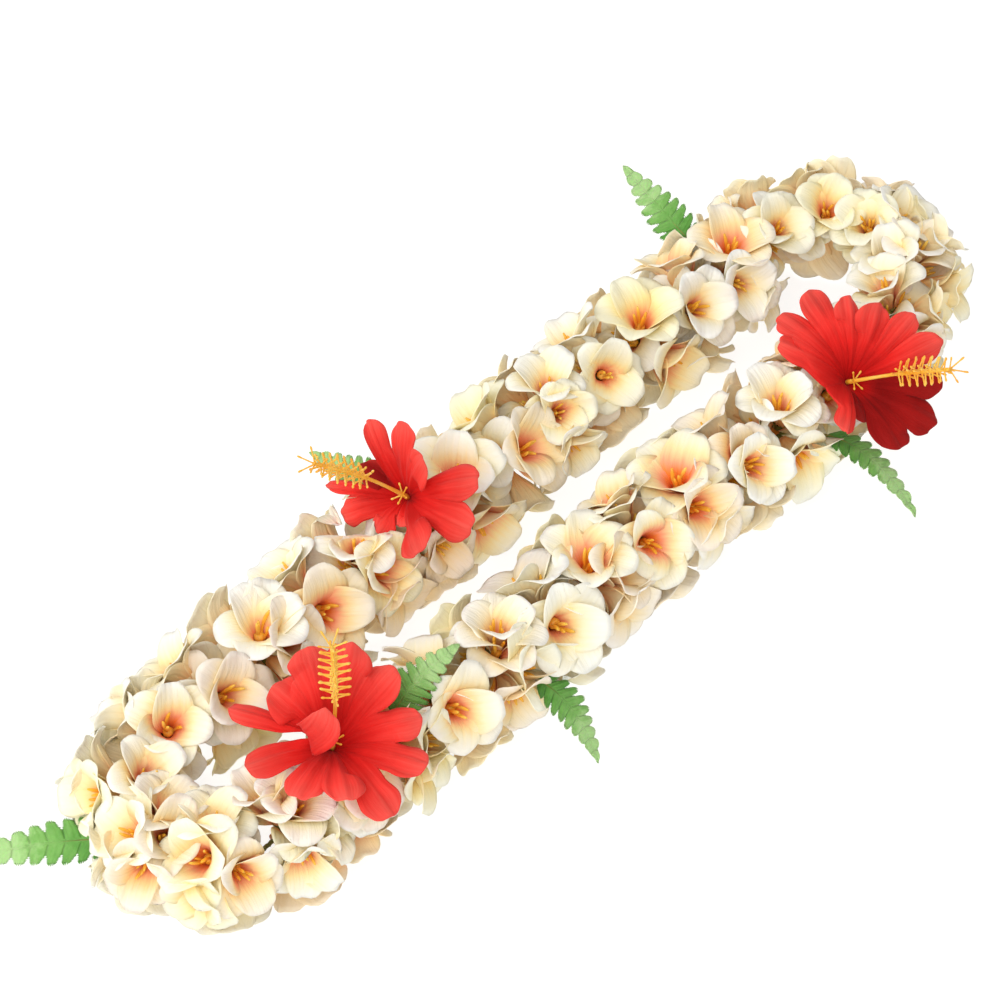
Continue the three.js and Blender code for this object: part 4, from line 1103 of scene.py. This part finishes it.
NONE, SMALL, MIDDLING, LARGE = range(4)


def large_blossoms(k):
    """The large blossoms of a cluster, fewer where a hibiscus takes the room of one"""
    blossoms = []
    for j in range(BLOSSOMS_PER_CLUSTER):
        angle, lean, side = (j + (k % 2) / 2) / BLOSSOMS_PER_CLUSTER * 2 * math.pi, 0.0, 0
        if is_sharp(k):
            angle, side = BEND_BLOSSOMS[j]
            lean = BEND_LEAN * side
        angle += ANGLE_SPREAD * (draw() - 0.5)
        lean += LEAN_SPREAD * (draw() - 0.5) * (BEND_LEAN_SPREAD if is_sharp(k) else 1)
        turn = 2 * math.pi * draw()
        wide = mix(*OPEN_RANGE, draw())
        axis = blossom_axis(k, angle, lean)
        wide *= narrowed(axis, k, side)
        rank = LARGE if LEFT_OUT.get(k) != j else NONE
        blossoms.append({"axis": axis, "side": side, "turn": turn, "wide": wide, "rank": rank})
    for flower in hibiscus_flowers.values():
        if flower["station"] % CLUSTERS == k:
            towards = np.array(flower["throat"]) - stations[k]["centre"]
            blossoms.sort(key=lambda blossom: blossom["axis"] @ towards)
            blossoms.pop()
    return blossoms


def more_blossoms(k, vary):
    """The small blossoms between the large ones of a cluster, and the ones in its gaps"""
    small = BEND_FILLERS if is_sharp(k) else [(quarters + (k % 2) / 2, lean) for quarters, lean in FILLERS]
    blossoms = []
    for n, (quarters, lean) in enumerate([*small, *GAP_FILLERS.get(k, ())]):
        angle = quarters * math.pi / 2 + vary.uniform(-0.2, 0.2)
        axis = blossom_axis(k, angle, lean + vary.uniform(-0.15, 0.15))
        wide = mix(*FILLER_OPEN, vary.random()) * narrowed(axis, k, 0)
        turn = 2 * math.pi * vary.random()
        rank = SMALL if n < len(small) else MIDDLING
        blossoms.append({"axis": axis, "side": 0, "turn": turn, "wide": wide, "rank": rank})
    return blossoms


# The rods and petals of each flower, by place, turning, scale, shape and marks. The last of the rod shapes
# is the moulded base in the throat that the others stand on.
PETALS = 6
RODS = 4
ROD_LINES = ((0.6, 2.4), (-0.4, 3.4), (1.2, 4.2))  # how far each bows, and how far it spreads from the axis
ROD_RADII = 0.6, 0.62, 0.62, 0.68, 0.85, 0.95, 0.9, 0.45
ROD_ENDS = 8, 24.5
SMALL_TALL, SMALL_WIDE, SMALL_BLUSH = 0.66, 0.94, 0.05
CLOSED_STAND = 1.12  # how tall a blossom stands that doesn't open
SLIDE = 3.5  # along the string, either way
SPARE = 11.0, 18.0  # how far the petals may reach past a seam
SMALL_LACKS = 3, 5  # the numbers of the petals that a small blossom does without
BLUSH_SPREAD = 1.6, 1.8
PETAL_SPREADS = (0.95, 1.08), (0.92, 1.08), (0.95, 1.05)
MOSTLY_OPEN = 0.75  # the share of the blossoms that open fully
CLOSED_OUTER, CLOSED_INNER = (0, 3, 4), (0, 1, 4)  # the petals that the others are made of

rods = []
for n, (bow, spread) in enumerate(ROD_LINES):
    shares = np.linspace(0, 1, len(ROD_RADII))
    line = [mix(0.9, spread, shares**1.5), bow * np.sin(math.pi * shares), mix(*ROD_ENDS, shares)]
    rods.append(object_of(f"rod_{n}", *tube(np.column_stack(line), ROD_RADII, 6)))
rods.append(upright_tube("stamen_base", (7.5, 9.0, 11.0, 12.6, 13.4), (1.8, 2.4, 2.9, 2.6, 1.3), 7))
STAMEN_BASE = len(rods) - 1  # its number among them
rod_shapes = shelf_of("stamen shapes", rods)


def facing(flower, angle):
    """A flower's directions, the first at that angle round its axis"""
    away = toward(flower["first"], flower["second"], angle + flower["turn"])
    return np.array([away, np.cross(flower["axis"], away), flower["axis"]])


vary = random.Random(7)
flowers = []
for k, station in enumerate(stations):
    for flower in large_blossoms(k) + more_blossoms(k, vary):
        blush, tone, shut = vary.betavariate(*BLUSH_SPREAD), vary.random(), vary.random()
        spare, slide = vary.uniform(*SPARE), vary.uniform(-SLIDE, SLIDE)
        wide = flower["wide"]
        tall = mix(CLOSED_STAND, 1, wide)
        if flower["rank"] == SMALL:
            tall, wide, blush = SMALL_TALL * tall, SMALL_WIDE * wide, SMALL_BLUSH
        root = station["centre"] + slide * station["tangent"]
        marks = {"blush": blush, "tone": tone, "side": flower["side"], "spare": spare, "cluster": k}
        flower["first"] = unit(np.cross(station["tangent"], flower["axis"]))
        flower["second"] = np.cross(flower["axis"], flower["first"])
        flower.update(root=root, tall=tall, wide=wide, marks=marks, petals=[], rods=[])
        for p in range(PETALS):
            outer_petal = p % 2 == 0
            turning = facing(flower, p * math.pi / 3 + vary.uniform(-0.1, 0.1))
            closed = CLOSED_OUTER if outer_petal else CLOSED_INNER
            number = vary.randrange(len(OUTER_PETALS)) if shut < MOSTLY_OPEN else vary.choice(closed)
            scale = [size * vary.uniform(*span) for size, span in zip((wide, wide, tall), PETAL_SPREADS)]
            if flower["rank"] != SMALL or p not in SMALL_LACKS:
                number += 0 if outer_petal else len(OUTER_PETALS)
                flower["petals"].append((root, turning, scale, number, marks))
        for n in range(RODS):
            turning = facing(flower, (n + vary.uniform(-0.3, 0.3)) * math.pi / 2)
            scale = wide, wide, tall * vary.uniform(0.85, 1.05)
            flower["rods"].append((root, turning, scale, vary.randrange(3), marks))
        flower["rods"].append((root, facing(flower, 0), (wide, wide, tall), STAMEN_BASE, marks))
        if flower["rank"] != NONE:
            flowers.append(flower)


def points_of(places, shapes):
    """Where the points of shapes come to lie, once settled, when each is put in its place in one flower"""
    points = [root + (shapes[number] * np.array(scale)) @ turn for root, turn, scale, number, _ in places]
    marks = places[0][-1]
    together = settled(np.vstack(points), marks["cluster"], marks["side"], marks["spare"])
    return np.split(together, np.cumsum([len(p) for p in points])[:-1])


# What would stand far down in the cup of a larger blossom is left out. A cup is a row of balls along its
# axis.
CUP_HIGHS = np.array([10, 13, 16, 19, 22])
CUP_LEAN = 50
CUP_INSIDE, CUP_REACH = 0.8, 75
CUP_POINTS = 3  # so many of a petal's points in a cup are too many
_, _, cup_outs, cup_highs = petal_line(CUP_LEAN)
cup_walls = np.interp(CUP_HIGHS, cup_highs, cup_outs)
petal_points, rod_points = (
    [np.array([vertex.co for vertex in shape.data.vertices][::2]) / MM for shape in shapes.objects]
    for shapes in (petal_shapes, rod_shapes)
)
for flower in flowers:
    line = np.column_stack([0 * CUP_HIGHS, 0 * CUP_HIGHS, CUP_HIGHS])
    upright = flower["root"], facing(flower, 0), (1, 1, flower["tall"]), 0, flower["marks"]
    flower["cup"] = points_of([upright], [line])[0]


def clear_of_cups(flower, places, shapes):
    """Those of a flower's petals or rods that do not reach far into the cup of a larger flower"""
    larger = [other for other in flowers if other["rank"] > flower["rank"]]
    larger = [other for other in larger if np.linalg.norm(other["root"] - flower["root"]) < CUP_REACH]
    if not larger:
        return places
    cups = np.vstack([other["cup"] for other in larger])
    walls = CUP_INSIDE * np.concatenate([other["wide"] * cup_walls for other in larger])
    clear = []
    for place, points in zip(places, points_of(places, shapes)):
        away = np.linalg.norm(points[:, None] - cups, axis=2)
        inside = (away < walls).reshape(len(points), len(larger), -1).any(axis=2).sum(axis=0)
        if (inside < CUP_POINTS).all():
            clear.append(place)
    return clear


for k in range(CLUSTERS):
    petal_places = []
    for flower in flowers:
        if flower["marks"]["cluster"] == k:
            petal_places += clear_of_cups(flower, flower["petals"], petal_points)
    petals = repeated(f"blossom_petals_{k + 1:02}", petal_shapes, ivory_finish, petal_places, 0.06, k)
    settle_all(petals)
    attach(petals, "root")
    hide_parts(f"blossoms_{k + 1:02}")


# The blossoms' stamens: four thick yellow-orange plastic rods on a moulded base in each throat, and their
# calyxes: small olive-brown plastic cups that hold the petals' roots on the hub.
CALYX_HEIGHTS = 1.5, 2.6, 4.0, 5.2, 6.6, 8.0
CALYX_RADII = 1.2, 1.3, 1.7, 2.3, 2.6, 2.9
CALYX_SIDES = 10
CALYX_NOTCH = 1.4

points, faces = tube([[0, 0, high] for high in CALYX_HEIGHTS], CALYX_RADII, CALYX_SIDES, (1, 0, 0))
points[-CALYX_SIDES::2, 2] -= CALYX_NOTCH  # leaves five points round the rim
calyx_shapes = shelf_of("calyx shapes", [object_of("calyx", points, faces)])
rod_places = [place for flower in flowers for place in clear_of_cups(flower, flower["rods"], rod_points)]
calyx_places = [(flower["root"], facing(flower, 0), (1, 1, 1), 0, flower["marks"]) for flower in flowers]
stamens = repeated("stamens", rod_shapes, yellow_finish, rod_places, 0.05, 3)
calyxes = repeated("calyxes", calyx_shapes, green_finish, calyx_places)
for piece in (stamens, calyxes):
    settle_all(piece)
    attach(piece, "root")


# The camera looks down on the lei from the photograph's side; the light is soft and comes from the upper
# left over a plain pale floor.
LOOK_AT = np.array([-3.65, 22.34, 32.5])
BACK = unit(np.array([-0.4415, -0.4292, 0.788]))
DISTANCE = 1420.0
LENS, SENSOR = 108, 36
FLOOR_HALF, FLOOR_TOP = 6000, -0.4

camera = bpy.data.objects.new("camera", bpy.data.cameras.new("camera"))
bpy.context.scene.collection.objects.link(camera)
camera.data.lens, camera.data.sensor_width = LENS, SENSOR
camera.data.clip_start, camera.data.clip_end = 0.05, 20
camera.location = Vector((LOOK_AT + MIDDLE + BACK * DISTANCE) * MM)
camera.rotation_mode = "QUATERNION"
camera.rotation_quaternion = Vector(-BACK).to_track_quat("-Z", "Y")
bpy.context.scene.camera = camera

floor_finish, floor_tree = finish_of("floor_finish", 0.9, Specular_IOR_Level=0.05, Emission_Strength=0.82)
mottle = noise(floor_tree, on_object(floor_tree), 3, 1)
linked(floor_tree, "Base Color", ramp(floor_tree, mottle, {0.3: "9a9a99", 0.7: "9c9c9b"}))
ways = (-1, -1), (1, -1), (1, 1), (-1, 1)
floor = object_of("floor", [(x * FLOOR_HALF, y * FLOOR_HALF, FLOOR_TOP) for x, y in ways], [(0, 1, 2, 3)])
floor.data.materials.append(floor_finish)


def lamp(name, direction, distance_m, size_m, watts, tint):
    light = bpy.data.lights.new(name, "AREA")
    light.shape = "DISK"
    light.size = size_m
    light.energy = watts
    light.color = tint
    made = bpy.data.objects.new(name, light)
    bpy.context.scene.collection.objects.link(made)
    made.location = Vector(unit(np.array(direction, float)) * distance_m)
    made.rotation_mode = "QUATERNION"
    made.rotation_quaternion = (-made.location).to_track_quat("-Z", "Y")


lamp("key_light", (-0.7, 0.85, 0.95), 2.2, 1.8, 14, (1.0, 0.985, 0.96))
lamp("fill_light", (-0.6, -0.27, 0.79), 2.4, 2.0, 30, (1.0, 1.0, 1.0))
world = bpy.data.worlds.new("studio")
world.use_nodes = True
world.node_tree.nodes["Background"].inputs["Color"].default_value = (1.0, 0.98, 0.94, 1)
world.node_tree.nodes["Background"].inputs["Strength"].default_value = 0.6
bpy.context.scene.world = world
bpy.context.scene.view_settings.view_transform = "Standard"
